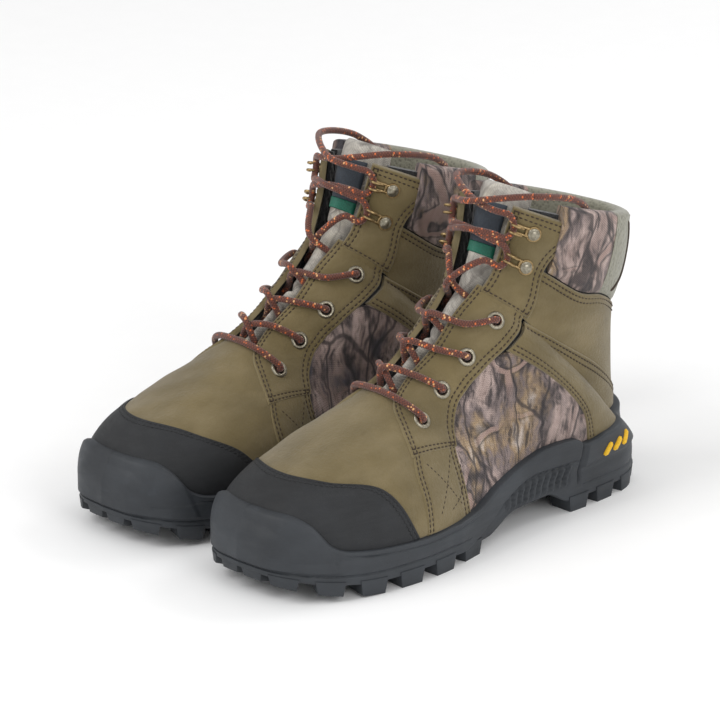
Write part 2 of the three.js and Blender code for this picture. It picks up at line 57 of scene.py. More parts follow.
OUTER_SIDE = [[0, -154], [24, -150], [41, -134], [53, -107], [58, -75], [58, -45], [52, -14],
              [46, 18], [42.5, 52], [41.5, 100], [36, 132], [21, 149], [0, 154]]
INNER_SIDE = [[0, -154], [22, -151], [38, -138], [49, -110], [54, -75], [53, -45], [45, -10],
              [38, 25], [36, 60], [38, 100], [35, 130], [21, 149], [0, 154]]
KNOTS = [0, 0.07, 0.2, 0.34, 0.47, 0.58, 0.66, 0.74, 0.87, 1]
STATIONS = {
    "q": [0, 0.13, 0.27, 0.43, 0.62, 0.8, 0.9, 1, 1, 1],
    "seamY": [146, 146, 146, 146, 146, 146, 146, 147, 139, 146],
    "seamZ": [26, 25, 25, 25, 25, 25, 25, 27, 98, 166],
    "topY": [-148, -138, -100, -58, -28, -4, 11, 22, 33, 40],
    "topZ": [28, 55, 73, 89, 106, 122, 134, 147, 171, 197],
    "shut": [0, 0, 0, 0, 0.1, 0.3, 0.5, 0.75, 0.95, 1],
    "wide": [0, 0, 0, 0, 4, 13, 22, 33, 35, 39],
    "round": [0.8, 0.82, 0.86, 0.95, 1.1, 1.1, 1.05, 1, 1, 1],
}

# ---------- pattern lines, as (s, around) on the outer side ----------
TOE_SEAM = [[0.252, -0.997], [0.22, -0.72], [0.165, -0.42], [0.13, 0], [0.16, 0.34], [0.235, 0.62],
            [0.26, 0.997]]
STRAP_FRONT = [[0.372, 0.22], [0.329, 0.43], [0.305, 0.64], [0.29, 0.83], [0.275, 0.997]]
EYESTAY_FRONT = [[0.318, 0.54], [0.345, 0.35], [0.378, 0.2], [0.44, 0.145], [0.54, 0.113],
                 [0.65, 0.07], [0.758, 0.1]]
EYESTAY_BACK = [[0.415, 0.63], [0.44, 0.53], [0.478, 0.444], [0.512, 0.4], [0.546, 0.367],
                [0.623, 0.326], [0.772, 0.3]]
CAMO_TOP = [[0.5, 0.4], [0.56, 0.33], [0.65, 0.36], [0.66, 0.6], [0.63, 0.78], [0.61, 0.997]]
CAMO_FRONT = [[0.47, 0.41], [0.42, 0.52], [0.39, 0.65], [0.37, 0.79], [0.35, 0.997]]
QUARTER_TOP = [[0.745, 0.315], [0.76, 0.42], [0.785, 0.6], [0.79, 0.75], [0.785, 1]]
QUARTER_LOW = [[0.635, 0.33], [0.645, 0.5], [0.632, 0.66], [0.585, 0.86], [0.64, 0.93],
               [0.7, 0.94], [0.765, 1]]
COLLAR_LINE = [[0.87, 0.37], [0.87, 0.5], [0.888, 0.64], [0.89, 0.82], [0.89, 1]]
HOOK_FRONT = [[0.742, 0.12], [0.8, 0.14], [0.86, 0.15], [0.93, 0.155], [0.992, 0.165]]
HOOK_BACK = [[0.757, 0.32], [0.806, 0.33], [0.87, 0.338], [0.92, 0.375], [0.975, 0.46]]
EYELETS = [[0.394, 0.4], [0.479, 0.333], [0.569, 0.262], [0.686, 0.225]]
HOOKS = [[0.86, 0.265], [0.94, 0.265]]
THROAT = [[0.38, -0.28], [0.387, -0.14], [0.389, 0], [0.387, 0.14], [0.38, 0.28]]
LOWER_STRAP_FRONT = [[0.335, 0.47], [0.305, 0.64], [0.29, 0.83], [0.275, 0.997]]
LOWER_STRAP_BACK = [[0.44, 0.52], [0.41, 0.64], [0.39, 0.79], [0.37, 0.997]]
STRAP_STITCHES = [[[0.335, 0.6], [0.35, 0.76], [0.362, 0.93]],
                  [[0.395, 0.63], [0.355, 0.77], [0.31, 0.93]],
                  [[0.4, 0.7], [0.37, 0.86], [0.335, 0.93]]]
HEEL_STITCHES = [[0.79, 0.8], [0.74, 0.88], [0.7, 0.915]]
PIPING = [[0.9, 0.70], [0.93, 0.77], [0.965, 0.775], [0.995, 0.73]]
DOUBLE_ROW = (2.2, 5.0)          # distances of two stitch rows from a panel's edge

# top edge of the sole's side wall in the side view, as (y, z)
GUARD_TOP = [[-170, 52], [-146, 52], [-134, 46], [-124, 34], [-112, 29], [-75, 25.5], [-45, 25],
             [-12, 28], [9, 35], [37, 44], [52, 48], [74, 48], [84, 43], [100, 46], [130, 48],
             [170, 49]]
TOE_LIFT = 13.0
LIFT_START = -85.0
HEEL_LIFT = 3.0
LUG_ROOT = 10.0                  # where the lugs have gone into the plate
PLATE_TOP = 17.0


# ---------- curves and the upper's surface ----------
def smooth(knots, values, at):
    """Cubic curve through values at rising knots, with averaged slopes."""
    k = np.asarray(knots, float)
    v = np.asarray(values, float)
    at = np.clip(np.asarray(at, float), k[0], k[-1])
    low = np.maximum(np.arange(len(k)) - 1, 0)
    high = np.minimum(np.arange(len(k)) + 1, len(k) - 1)
    slope = (v[high] - v[low]) / (k[high] - k[low])
    i = np.clip(np.searchsorted(k, at, side="left") - 1, 0, len(k) - 2)
    h = k[i + 1] - k[i]
    u = (at - k[i]) / h
    return (v[i] * (2 * u**3 - 3 * u**2 + 1) + slope[i] * h * (u**3 - 2 * u**2 + u)
            + v[i + 1] * (3 * u**2 - 2 * u**3) + slope[i + 1] * h * (u**3 - u**2))


def step(low, high, x):
    """0 below low, 1 above high, smooth between."""
    t = np.clip((np.asarray(x, float) - low) / (high - low), 0, 1)
    return t * t * (3 - 2 * t)


def bump_line(distance, half):
    """A rounded ridge or groove across a distance."""
    return np.exp(-((distance / half) ** 2))


def catmull_rom(points, per_span):
    """Centripetal Catmull-Rom curve through the points, per_span steps between two of them."""
    p = np.asarray(points, float)
    p = np.vstack([2 * p[0] - p[1], p, 2 * p[-1] - p[-2]])
    out = []
    for i in range(1, len(p) - 2):
        d = [max(np.linalg.norm(p[i + k] - p[i + k - 1]) ** 0.5, 1e-4) for k in range(3)]
        t1 = (p[i] - p[i - 1]) / d[0] - (p[i + 1] - p[i - 1]) / (d[0] + d[1]) + (p[i + 1] - p[i]) / d[1]
        t2 = (p[i + 1] - p[i]) / d[1] - (p[i + 2] - p[i]) / (d[1] + d[2]) + (p[i + 2] - p[i + 1]) / d[2]
        t1 *= d[1]
        t2 *= d[1]
        u = np.linspace(0, 1, per_span, endpoint=False)[:, None]
        out.append(p[i] * (2 * u**3 - 3 * u**2 + 1) + t1 * (u**3 - 2 * u**2 + u)
                   + p[i + 1] * (3 * u**2 - 2 * u**3) + t2 * (u**3 - u**2))
    out.append(p[-2][None])
    return np.vstack(out)


def travelled(points):
    """Length along a line of points, at each of them."""
    return np.concatenate([[0], np.cumsum(np.linalg.norm(np.diff(points, axis=0), axis=1))])


def half_outline(points):
    line = catmull_rom(points, 120)
    length = travelled(line)
    return length / length[-1], line, np.gradient(line, length, axis=0)


OUTLINES = {1: half_outline(OUTER_SIDE), -1: half_outline(INNER_SIDE)}


def outline(side, q, inset=0.0):
    """Points (x, y) of the sole outline at share q from toe to heel, moved in by inset."""
    side, q, inset = np.broadcast_arrays(side, q, inset)
    x = np.zeros(q.shape)
    y = np.zeros(q.shape)
    for sign, (share, line, tangent) in OUTLINES.items():
        here = side == sign
        px, py, tx, ty = (np.interp(q, share, column) for column in (*line.T, *tangent.T))
        size = np.hypot(tx, ty)
        x = np.where(here, sign * np.maximum(px - inset * ty / size, 0), x)
        y = np.where(here, py + inset * tx / size, y)
    return x, y


def upper(s, around):
    """Points of the upper's surface at s and around."""
    s, a = np.broadcast_arrays(np.asarray(s, float), np.asarray(around, float))
    a = np.where(a > 1, a - 2, np.where(a < -1, a + 2, a))
    side = np.where(a >= 0, 1, -1)
    at = {name: smooth(KNOTS, values, s) for name, values in STATIONS.items()}
    foot_x, foot_y = outline(side, np.clip(at["q"], 0, 1), FEATHER_INSET)
    on_seam = s >= 0.74
    low_y = np.where(on_seam, at["seamY"], foot_y)
    low_x = np.where(on_seam, 0, foot_x)
    theta = (1 - np.abs(a)) * math.pi / 2
    sine = np.maximum(np.sin(theta), 0)
    cosine = np.maximum(np.cos(theta), 0)
    v = (1 - at["shut"]) * sine ** at["round"] + at["shut"] * sine**2
    x = low_x * cosine ** at["round"] + side * at["wide"] * np.sin(2 * theta)
    y = low_y + (at["topY"] - low_y) * v
    z = at["seamZ"] + (at["topZ"] - at["seamZ"]) * v
    return np.stack([x, y, z], -1)


def unit(v):
    return v / np.maximum(np.linalg.norm(v, axis=-1, keepdims=True), 1e-9)


def normal(s, around):
    h = 0.004
    s = np.asarray(s, float)
    along = upper(np.minimum(s + h, 1), around) - upper(np.maximum(s - h, 0.001), around)
    across = upper(s, around + h) - upper(s, around - h)
    return unit(np.cross(across, along))


def off(s, around, out):
    """Points at a distance out from the upper's surface."""
    around = np.asarray(around, float)
    return upper(s, around) + normal(s, around) * np.asarray(out, float)[..., None]


def seat(s, around):
    """Matrix that puts hardware on the upper: x across, z out."""
    z = normal(s, around)
    x = unit(upper(s, around + 0.01) - upper(s, around - 0.01))
    y = unit(np.cross(z, x))
    x = unit(np.cross(y, z))
    return np.column_stack([x, y, z]), upper(s, around)


def on_line(line, u):
    """(s, around) at share u of a pattern line."""
    knots = np.linspace(0, 1, len(line))
    line = np.asarray(line, float)
    return smooth(knots, line[:, 0], u), smooth(knots, line[:, 1], u)


def shifted(line, ds, da=0.0):
    return [[s + ds, a + da] for s, a in line]


def inner(line, side):
    return [[s, a * side] for s, a in line]


def round_back(line):
    """A line carried round the back seam to the same line on the inner side."""
    return line + [[s, 2 - a] for s, a in reversed(line[:-1])]


# ---------- shapes: vertices, faces and what the materials read ----------
def shape(vertices, faces, **extra):
    return {"v": np.asarray(vertices, float).reshape(-1, 3), "f": [tuple(f) for f in faces], **extra}


def grid_faces(nu, nv, wrap_u=False, wrap_v=False, start=0):
    i, j = np.meshgrid(np.arange(nu if wrap_u else nu - 1), np.arange(nv if wrap_v else nv - 1),
                       indexing="ij")
    i2 = (i + 1) % nu
    j2 = (j + 1) % nv
    quads = np.stack([i * nv + j, i2 * nv + j, i2 * nv + j2, i * nv + j2], -1).reshape(-1, 4)
    return (quads + start).tolist()


def shell(outer_grid, inner_grid, **extra):
    """A closed sheet between two grids of the same size."""
    nu, nv = outer_grid.shape[:2]
    size = nu * nv
    faces = grid_faces(nu, nv)
    faces += [f[::-1] for f in grid_faces(nu, nv, start=size)]
    index = np.arange(size).reshape(nu, nv)
    rim = np.concatenate([index[:, 0], index[-1, 1:], index[-2::-1, -1], index[0, -2:0:-1]])
    turned = np.roll(rim, -1)
    faces += np.stack([turned, rim, rim + size, turned + size], -1).tolist()
    return shape(np.concatenate([outer_grid.reshape(-1, 3), inner_grid.reshape(-1, 3)]), faces, **extra)


def joined(shapes):
    vertices = []
    faces = []
    start = 0
    for part in shapes:
        vertices.append(part["v"])
        faces += [tuple(i + start for i in f) for f in part["f"]]
        start += len(part["v"])
    return shape(np.concatenate(vertices), faces)


def turned_to(part, basis, origin):
    return shape(part["v"] @ basis.T + origin, part["f"])


def lathe(profile, sides, closed=True):
    """A ring or cup from a profile of (radius, z); closed profiles end where they start."""
    profile = np.asarray(profile, float)
    angle = np.linspace(0, 2 * math.pi, sides, endpoint=False)
    r = profile[None, :, 0]
    grid = np.stack([r * np.cos(angle)[:, None], r * np.sin(angle)[:, None],
                     np.repeat(profile[None, :, 1], sides, 0)], -1)
    faces = grid_faces(sides, len(profile), wrap_u=True, wrap_v=closed)
    if not closed:
        count = len(profile)
        faces.append([i * count for i in range(sides)][::-1])
        faces.append([i * count + count - 1 for i in range(sides)])
    return shape(grid, faces)


def frames_along(points):
    """Two steady cross directions along a line."""
    tangent = unit(np.gradient(points, axis=0))
    first = np.cross(tangent[0], [0.0, 0.0, 1.0])
    if np.linalg.norm(first) < 0.1:
        first = np.cross(tangent[0], [1.0, 0.0, 0.0])
    across = [unit(first)]
    for t in tangent[1:]:
        across.append(unit(across[-1] - t * np.dot(across[-1], t)))
    across = np.array(across)
    return across, np.cross(tangent, across)


def end_caps(rows, sides):
    """Faces that close a grid of closed rows at its first and last row."""
    last = (rows - 1) * sides
    return [list(range(sides))[::-1], [last + i for i in range(sides)]]


def wrapped(points, radius, sides, **extra):
    """A round skin along points; radius has a row for each point, with one number or one per side."""
    x, y = frames_along(points)
    angle = np.linspace(0, 2 * math.pi, sides, endpoint=False)
    ring = x[:, None] * np.cos(angle)[None, :, None] + y[:, None] * np.sin(angle)[None, :, None]
    grid = points[:, None] + ring * radius[..., None]
    faces = grid_faces(len(points), sides, wrap_v=True) + end_caps(len(points), sides)
    return shape(grid, faces, **extra)


def tube(points, radius, sides):
    """A round bar along points with its ends rounded off."""
    r = np.full((len(points), 1), float(radius))
    r[[0, -1]] *= 0.5
    return wrapped(np.asarray(points, float), r, sides)


# ---------- stitches ----------
STITCH = 2.3
STITCH_PITCH = 3.1
STITCH_R = 0.42
STITCH_WIDEN = 1.1
STITCH_MARGIN = 1.2              # unsewn at each end of a row
STITCH_RINGS = ((0.0, 0.35, 0.35), (0.12, 0.8, 0.12), (0.5, 1.0, 0.0), (0.88, 0.8, 0.12), (1.0, 0.35, 0.35))
stitches = {"brown": [], "black": []}


def sampled(values, length, at):
    """Rows of values that are known at each length, read at other lengths."""
    return np.stack([np.interp(at, length, column) for column in values.T], -1)


def sew(points, normals, colour):
    """Lay a row of stitches along a line of points."""
    length = travelled(points)
    run = length[-1] - 2 * STITCH_MARGIN
    count = int(run / STITCH_PITCH)
    if count < 1:
        return
    at = STITCH_MARGIN + (np.arange(count) + 0.5) * run / count
    start, end = (sampled(points, length, at + d) for d in (-STITCH / 2, STITCH / 2))
    stitches[colour].append((start, end, unit(sampled(normals, length, at))))


def sew_at(s, around, out, colour):
    """Sew through points of the upper, at a distance out from it."""
    sew(off(s, around, np.full(len(s), out)), normal(s, around), colour)


def sew_line(line, out):
    sew_at(*on_line(line, np.linspace(0, 1, 300)), out, "brown")


def stitch_shape(rows):
    """All stitches of one colour, each a short flattened capsule of rings joined along its length."""
    start, end, up = (np.concatenate(column) for column in zip(*rows))
    along = end - start
    side = unit(np.cross(along, up))
    rings = []
    for share, size, sink in STITCH_RINGS:
        centre = start + along * share - up * sink
        for k in range(6):
            angle = k * math.pi / 3
            radial = side * math.cos(angle) * STITCH_WIDEN + up * math.sin(angle)
            rings.append(centre + radial * STITCH_R * size)
    grid = np.stack(rings, 1)
    corners = len(rings)
    ends = [[3, 2, 1, 0], [5, 4, 3, 0], [24, 25, 26, 27], [24, 27, 28, 29]]
    offsets = np.arange(len(grid)) * corners
    faces = []
    for quad in grid_faces(len(STITCH_RINGS), 6, wrap_v=True) + ends:
        faces += (offsets[:, None] + np.array(quad)[None]).tolist()
    return shape(grid, faces)


# ---------- sewn panels ----------
EDGE_STEPS = [0, 0.12, 0.35, 0.7, 1.1, 1.6]
EDGE_RADIUS = 1.1
GROOVE_STEPS = (-0.55, -0.25, 0, 0.25, 0.55)
GROOVE_DEPTH = 0.3
GROOVE_HALF = 0.5
THREAD_SINK = 0.12
PANEL_SPACING = 1.8              # between points away from edges and seams


def near_edge(rows):
    """Distances from a panel's edge that get points: at the rolled edge and at each stitch row."""
    return np.array(sorted(set(EDGE_STEPS + [r + d for r in rows for d in GROOVE_STEPS])))


def roll(d, radius):
    """How far a rounded edge has risen at distance d from it."""
    return np.sqrt(1 - (1 - np.clip(d / radius, 0, 1)) ** 2)


def between(edge_a, edge_b, u, v):
    """s and around at shares u along two pattern lines and v of the way from the first to the second."""
    sa, aa = on_line(edge_a, u)
    sb, ab = on_line(edge_b, u)
    return sa + (sb - sa) * v, aa + (ab - aa) * v


def panel(edge_a, edge_b, high, rows_a=(), rows_b=(), rows_0=(), rows_1=(), ends=(False, False),
          low=SKIN, colour="brown", crease=0.0, puff=0.0):
    """A leather or cloth panel between two pattern lines, with rolled edges and sewn rows.

    rows_a and rows_b are the stitch rows' distances from the two lines, rows_0 and rows_1 from the
    panel's two ends; ends says which ends are rolled. crease and puff are heights of unevenness."""
    run = travelled(upper(*between(edge_a, edge_b, np.linspace(0, 1, 200), 0.5)))[-1]
    near = near_edge(rows_0 or rows_1)
    count = max(int((run - 2 * near[-1]) / PANEL_SPACING), 2)
    share = near / run
    middle = np.linspace(share[-1], 1 - share[-1], count + 1)[1:-1]
    u = np.concatenate([share, middle, 1 - share[::-1]])

    fine = upper(*between(edge_a, edge_b, u[:, None], np.linspace(0, 1, 24)[None]))
    width = np.linalg.norm(np.diff(fine, axis=1), axis=-1).sum(1)
    near_a = near_edge(rows_a)
    near_b = near_edge(rows_b)
    count = max(int((width.max() - near_a[-1] - near_b[-1]) / PANEL_SPACING), 3)
    room = np.minimum(1, width / (near_a[-1] + near_b[-1] + 2))
    va = near_a * (room / width)[:, None]
    vb = 1 - near_b[::-1] * (room / width)[:, None]
    inside = va[:, -1:] + (vb[:, :1] - va[:, -1:]) * np.linspace(0, 1, count + 1)[None, 1:-1]
    v = np.concatenate([va, inside, vb], 1)
    s, a = between(edge_a, edge_b, u[:, None], v)

    da = v * width[:, None]
    db = (1 - v) * width[:, None]
    d0 = (u * run)[:, None] + 0 * da
    d1 = ((1 - u) * run)[:, None] + 0 * da
    rolled = [da, db] + [d for d, is_rolled in zip((d0, d1), ends) if is_rolled]
    rise = np.prod([roll(d, EDGE_RADIUS) for d in rolled], axis=0)
    out = low + (high - low) * rise
    for distance, rows in ((da, rows_a), (db, rows_b), (d0, rows_0), (d1, rows_1)):
        for row in rows:
            out = out - GROOVE_DEPTH * bump_line(distance - row, GROOVE_HALF) * rise
    out = out + puff * np.sin(math.pi * np.clip(v, 0, 1)) * rise
    out = out + crease * rise * (np.sin(s * 61 + 2.2 * np.sin(a * 7)) * np.sin(a * 11 + s * 23))

    thread = high - THREAD_SINK
    along = np.linspace(0, 1, 400)
    for fraction in [row * room / width for row in rows_a] + [1 - row * room / width for row in rows_b]:
        sew_at(*between(edge_a, edge_b, along, np.interp(along, u, fraction)), thread, colour)
    for at in [row / run for row in rows_0] + [1 - row / run for row in rows_1]:
        sew_at(*between(edge_a, edge_b, at, np.linspace(0.02, 0.98, 200)), thread, colour)
    edge = np.min(rolled, axis=0).ravel()
    return shell(off(s, a, out), off(s, a, np.full(s.shape, low - 0.1)), edge=np.tile(edge, 2))


# ---------- placing pieces ----------
materials = {}


def mesh_object(name, part, side):
    """A mesh object of one foot, mirrored for the right one, with its faces turned outward."""
    points = part["v"].copy()
    points[:, 0] = (points[:, 0] + BOOT_X) * side
    faces = part["f"]
    quads = part["v"][np.array([f for f in faces if len(f) == 4])]
    volume = sum(np.einsum("ij,ij->", quads[:, 0], np.cross(quads[:, k], quads[:, k + 1])) for k in (1, 2))
    turn = -1 if (volume < 0) != (side < 0) else 1
    data = bpy.data.meshes.new(name)
    data.from_pydata((points * MM).tolist(), [], [f[::turn] for f in faces])
    if "uv" in part:
        layer = data.uv_layers.new(name="length")
        corners = [np.asarray(c[::turn], np.float32) for c in part["uv"]]
        layer.data.foreach_set("uv", np.concatenate(corners).ravel())
    if "edge" in part:
        layer = data.attributes.new("edge", "FLOAT", "POINT")
        layer.data.foreach_set("value", np.asarray(part["edge"], np.float32))
    data.update()
    made = bpy.data.objects.new(name, data)
    bpy.context.scene.collection.objects.link(made)
    return made


def apply_modifiers(made):
    bpy.context.view_layer.update()
    evaluated = made.evaluated_get(bpy.context.evaluated_depsgraph_get())
    fresh = bpy.data.meshes.new_from_object(evaluated)
    made.modifiers.clear()
    made.data = fresh


def place(name, part, material, flap=False, replaces=(), slot=None, sharp=38, bevel=0.0, cut=None):
    """Make a piece for both feet, riding on its body. Returns the two objects by foot.

    Edges sharper than sharp degrees stay sharp, bevel rounds them, and cut is a shape taken away."""
    both = {}
    for foot, side in FEET.items():
        made = mesh_object(f"{foot}_{name}", part, side)
        made.data.materials.append(materials[material])
        if cut is not None:
            cutter = mesh_object(f"{foot}_{name}_cutter", cut, side)
            carve = made.modifiers.new("holes", "BOOLEAN")
            carve.object = cutter
            carve.solver = "EXACT"
            apply_modifiers(made)
            bpy.data.objects.remove(cutter)
        if bevel:
            rounding = made.modifiers.new("rounding", "BEVEL")
            rounding.width = bevel * MM
            rounding.segments = 2
            rounding.limit_method = "ANGLE"
            rounding.angle_limit = math.radians(40)
            apply_modifiers(made)
        made.data.polygons.foreach_set("use_smooth", [True] * len(made.data.polygons))
        made.data.set_sharp_from_angle(angle=math.radians(sharp))
        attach(made, f"{foot}_tongue_flap" if flap else f"{foot}_boot")
        if replaces:
            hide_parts(*[f"{foot}_{node}" for node in replaces])
        both[foot] = made
    return both


def stand_in(name, part, material, **settings):
    """A piece that takes the place of the CAD node of its own name."""
    return place(name, part, material, replaces=(name,), slot=material, **settings)


# ---------- materials ----------
class Shader:
    """A small helper that builds one procedural material."""

    def __init__(self, name, **settings):
        self.material = bpy.data.materials.new(name)
        self.material.use_nodes = True
        self.tree = self.material.node_tree
        self.bsdf = self.tree.nodes["Principled BSDF"]
        for socket, value in settings.items():
            self.bsdf.inputs[socket.replace("_", " ")].default_value = value
        self.where = self.tree.nodes.new("ShaderNodeTexCoord").outputs["Object"]
        materials[name] = self.material

    def node(self, kind, settings=None, **inputs):
        made = self.tree.nodes.new("ShaderNode" + kind)
        for key, value in (settings or {}).items():
            setattr(made, key, value)
        for key, value in inputs.items():
            index = int(key[1:]) if key[1:].isdigit() else key.replace("_", " ")
            socket = made.inputs[index]
            if isinstance(value, bpy.types.NodeSocket):
                self.tree.links.new(value, socket)
            else:
                socket.default_value = value
        return made

    def moved(self, scale, turn=(0, 0, 0), source=None):
        return self.node("Mapping", Vector=source or self.where, Scale=scale, Rotation=turn).outputs[0]

    def noise(self, scale, detail=4.0, source=None, rough=0.55):
        return self.node("TexNoise", Vector=source or self.where, Scale=scale, Detail=detail,
                         Roughness=rough).outputs[0]

    def voronoi(self, scale, feature="F1", source=None):
        made = self.node("TexVoronoi", {"feature": feature}, Vector=source or self.where, Scale=scale)
        return made.outputs["Distance"]

    def ramp(self, factor, *stops):
        """stops are (position, value or colour)."""
        made = self.node("ValToRGB", Fac=factor)
        elements = made.color_ramp.elements
        while len(elements) < len(stops):
            elements.new(0.5)
        for element, (position, colour) in zip(elements, stops):
            element.position = position
            tone = (colour,) * 3 if isinstance(colour, (int, float)) else colour
            element.color = (*tone, 1)
        return made.outputs[0]

    def mix(self, factor, a, b, blend="MIX"):
        made = self.node("Mix", {"data_type": "RGBA", "blend_type": blend})
        for index, value in ((0, factor), (6, a), (7, b)):
            if isinstance(value, bpy.types.NodeSocket):
                self.tree.links.new(value, made.inputs[index])
            elif index:
                made.inputs[index].default_value = (*value, 1)
            else:
                made.inputs[index].default_value = value
        return made.outputs[2]

    def maths(self, operation, a, b=0.0):
        return self.node("Math", {"operation": operation}, i0=a, i1=b).outputs[0]

    def times(self, a, b):
        return self.maths("MULTIPLY", a, b)

    def attribute(self, name):
        return self.node("Attribute", {"attribute_name": name}).outputs["Fac"]

    def finish(self, colour, height, depth, roughness=None):
        self.tree.links.new(colour, self.bsdf.inputs["Base Color"])
        bump = self.node("Bump", Strength=1.0, Distance=depth, Height=height)
        self.tree.links.new(bump.outputs[0], self.bsdf.inputs["Normal"])
        if roughness is not None:
            self.tree.links.new(roughness, self.bsdf.inputs["Roughness"])


def srgb(r, g, b):
    return tuple((c / 255 / 12.92) if c <= 10 else ((c / 255 + 0.055) / 1.055) ** 2.4 for c in (r, g, b))


def nubuck():
    m = Shader("nubuck", Roughness=0.85, Sheen_Weight=0.25, Sheen_Roughness=0.5)
    clouds = m.noise(28, 5)
    streaks = m.noise(60, 6, m.moved((1, 0.35, 1), (0.4, 0.2, 0.6)))
    tone = m.ramp(clouds, (0.3, srgb(97, 84, 51)), (0.52, srgb(108, 94, 59)), (0.75, srgb(121, 106, 70)))
    tone = m.mix(m.ramp(streaks, (0.45, 0.0), (0.75, 0.4)), tone, srgb(136, 121, 87))
    # colour turns lighter over the last millimetre before each panel's rolled edges, read from the edge
    # attribute
    edge_lightening = m.times(m.ramp(m.attribute("edge"), (0.0, 1.0), (0.9, 0.0)), 0.55)
    tone = m.mix(edge_lightening, tone, srgb(144, 132, 100))
    grain = m.noise(1900, 3)
    nap = m.noise(500, 4)
    height = m.maths("ADD", m.times(grain, 0.6), m.times(nap, 0.8))
    m.finish(tone, height, 0.0005, m.ramp(streaks, (0.3, 0.9), (0.8, 0.7)))


def rubber(name, dark, light, gloss, grain_scale, depth):
    m = Shader(name, Roughness=gloss, Specular_IOR_Level=0.45)
    clouds = m.noise(22, 5)
    scuffs = m.noise(90, 8, m.moved((1, 0.2, 2.5), (0.1, 0.5, 0.3)), 0.7)
    tone = m.ramp(clouds, (0.35, dark), (0.7, light))
    tone = m.mix(m.ramp(scuffs, (0.58, 0.0), (0.8, 0.35)), tone, tuple(c * 1.9 for c in light))
    grain = m.noise(grain_scale, 4, rough=0.65)
    m.finish(tone, grain, depth, m.ramp(scuffs, (0.3, gloss - 0.06), (0.7, gloss + 0.12)))


def camouflage(name, tones, bark, twig, contrast):
    """Printed bark and twigs on a fine twill."""
    m = Shader(name, Roughness=0.8, Sheen_Weight=0.15)
    swirl = m.node("TexNoise", Vector=m.where, Scale=26.0, Detail=3.0).outputs[1]
    push = m.node("VectorMath", {"operation": "SCALE"}, i0=swirl, Scale=0.02).outputs[0]
    bent = m.node("VectorMath", {"operation": "ADD"}, i0=m.where, i1=push).outputs[0]
    patches = m.ramp(m.noise(30, 6, m.moved((1, 1, 0.5), (0.5, 0.2, 0), bent), 0.6), *tones)
    # dark grain and cracks of the bark
    fine = m.noise(240, 8, m.moved((1, 1, 0.25), (0.45, 0.25, 0.1), bent), 0.7)
    tone = m.mix(m.times(m.ramp(fine, (0.48, 0.0), (0.62, 1.0)), contrast), patches, bark)
    slabs = m.voronoi(70, "DISTANCE_TO_EDGE", m.moved((1, 0.9, 0.32), (0.45, 0.25, 0.1), bent))
    cracks = m.ramp(slabs, (0.02, 1.0), (0.11, 0.0))
    shade = m.ramp(m.noise(42, 3, bent), (0.45, 0.35), (0.6, 1.0))
    tone = m.mix(m.times(cracks, m.times(shade, contrast)), tone, bark)
    # twigs, each with a shadow beside it
    sticks = m.voronoi(19, "DISTANCE_TO_EDGE", m.moved((1, 0.5, 1.1), (0.9, 0.3, 0.5), bent))
    here = m.ramp(m.noise(17, 2, bent), (0.46, 0.0), (0.52, 1.0))
    stick = m.times(m.ramp(sticks, (0.012, 0.8), (0.022, 0.6), (0.028, 0.0)), here)
    tone = m.mix(stick, tone, twig)
    shadow = m.times(m.ramp(sticks, (0.027, 0.0), (0.032, 0.8), (0.055, 0.0)), here)
    tone = m.mix(shadow, tone, bark)
    slivers = m.voronoi(33, "DISTANCE_TO_EDGE", m.moved((1, 1.1, 0.4), (1.2, 0.8, 0.2), bent))
    tone = m.mix(m.times(m.ramp(slivers, (0.012, 0.9), (0.03, 0.0)), contrast), tone, bark)
    # the twill's threads
    ribs = m.node("TexWave", {"bands_direction": "DIAGONAL"}, Vector=m.where, Scale=420.0).outputs[1]
    turned = m.moved((1, 1, 1), (0.3, 0.9, 0.2))
    cross = m.node("TexWave", {"bands_direction": "X"}, Vector=turned, Scale=380.0).outputs[1]
    weave = m.times(m.maths("ADD", ribs, cross), 0.5)
    tone = m.mix(m.ramp(weave, (0.2, 0.28), (0.8, 0.0)), tone, tuple(c * 0.4 for c in bark))
    m.finish(tone, weave, 0.0003)


def lining_cloth(name, dark, light):
    m = Shader(name, Roughness=0.75, Sheen_Weight=0.3)
    holes = m.voronoi(520)
    tone = m.mix(m.ramp(holes, (0.2, 1.0), (0.5, 0.0)), light, dark)
    tone = m.mix(m.ramp(m.noise(60, 4), (0.4, 0.0), (0.8, 0.3)), tone, light)
    m.finish(tone, holes, 0.0004)


def metal(name, colour, tarnish, roughness):
    m = Shader(name, Metallic=1.0, Roughness=roughness)
    spots = m.noise(700, 6, rough=0.7)
    tone = m.mix(m.ramp(spots, (0.45, 0.0), (0.7, 0.8)), colour, tarnish)
    gloss = m.ramp(spots, (0.3, roughness - 0.08), (0.8, roughness + 0.2))
    m.finish(tone, m.noise(1500, 3), 0.00005, gloss)


BRAID_TURNS = 5.0
BRAID_PITCH = 0.62               # crossings per millimetre


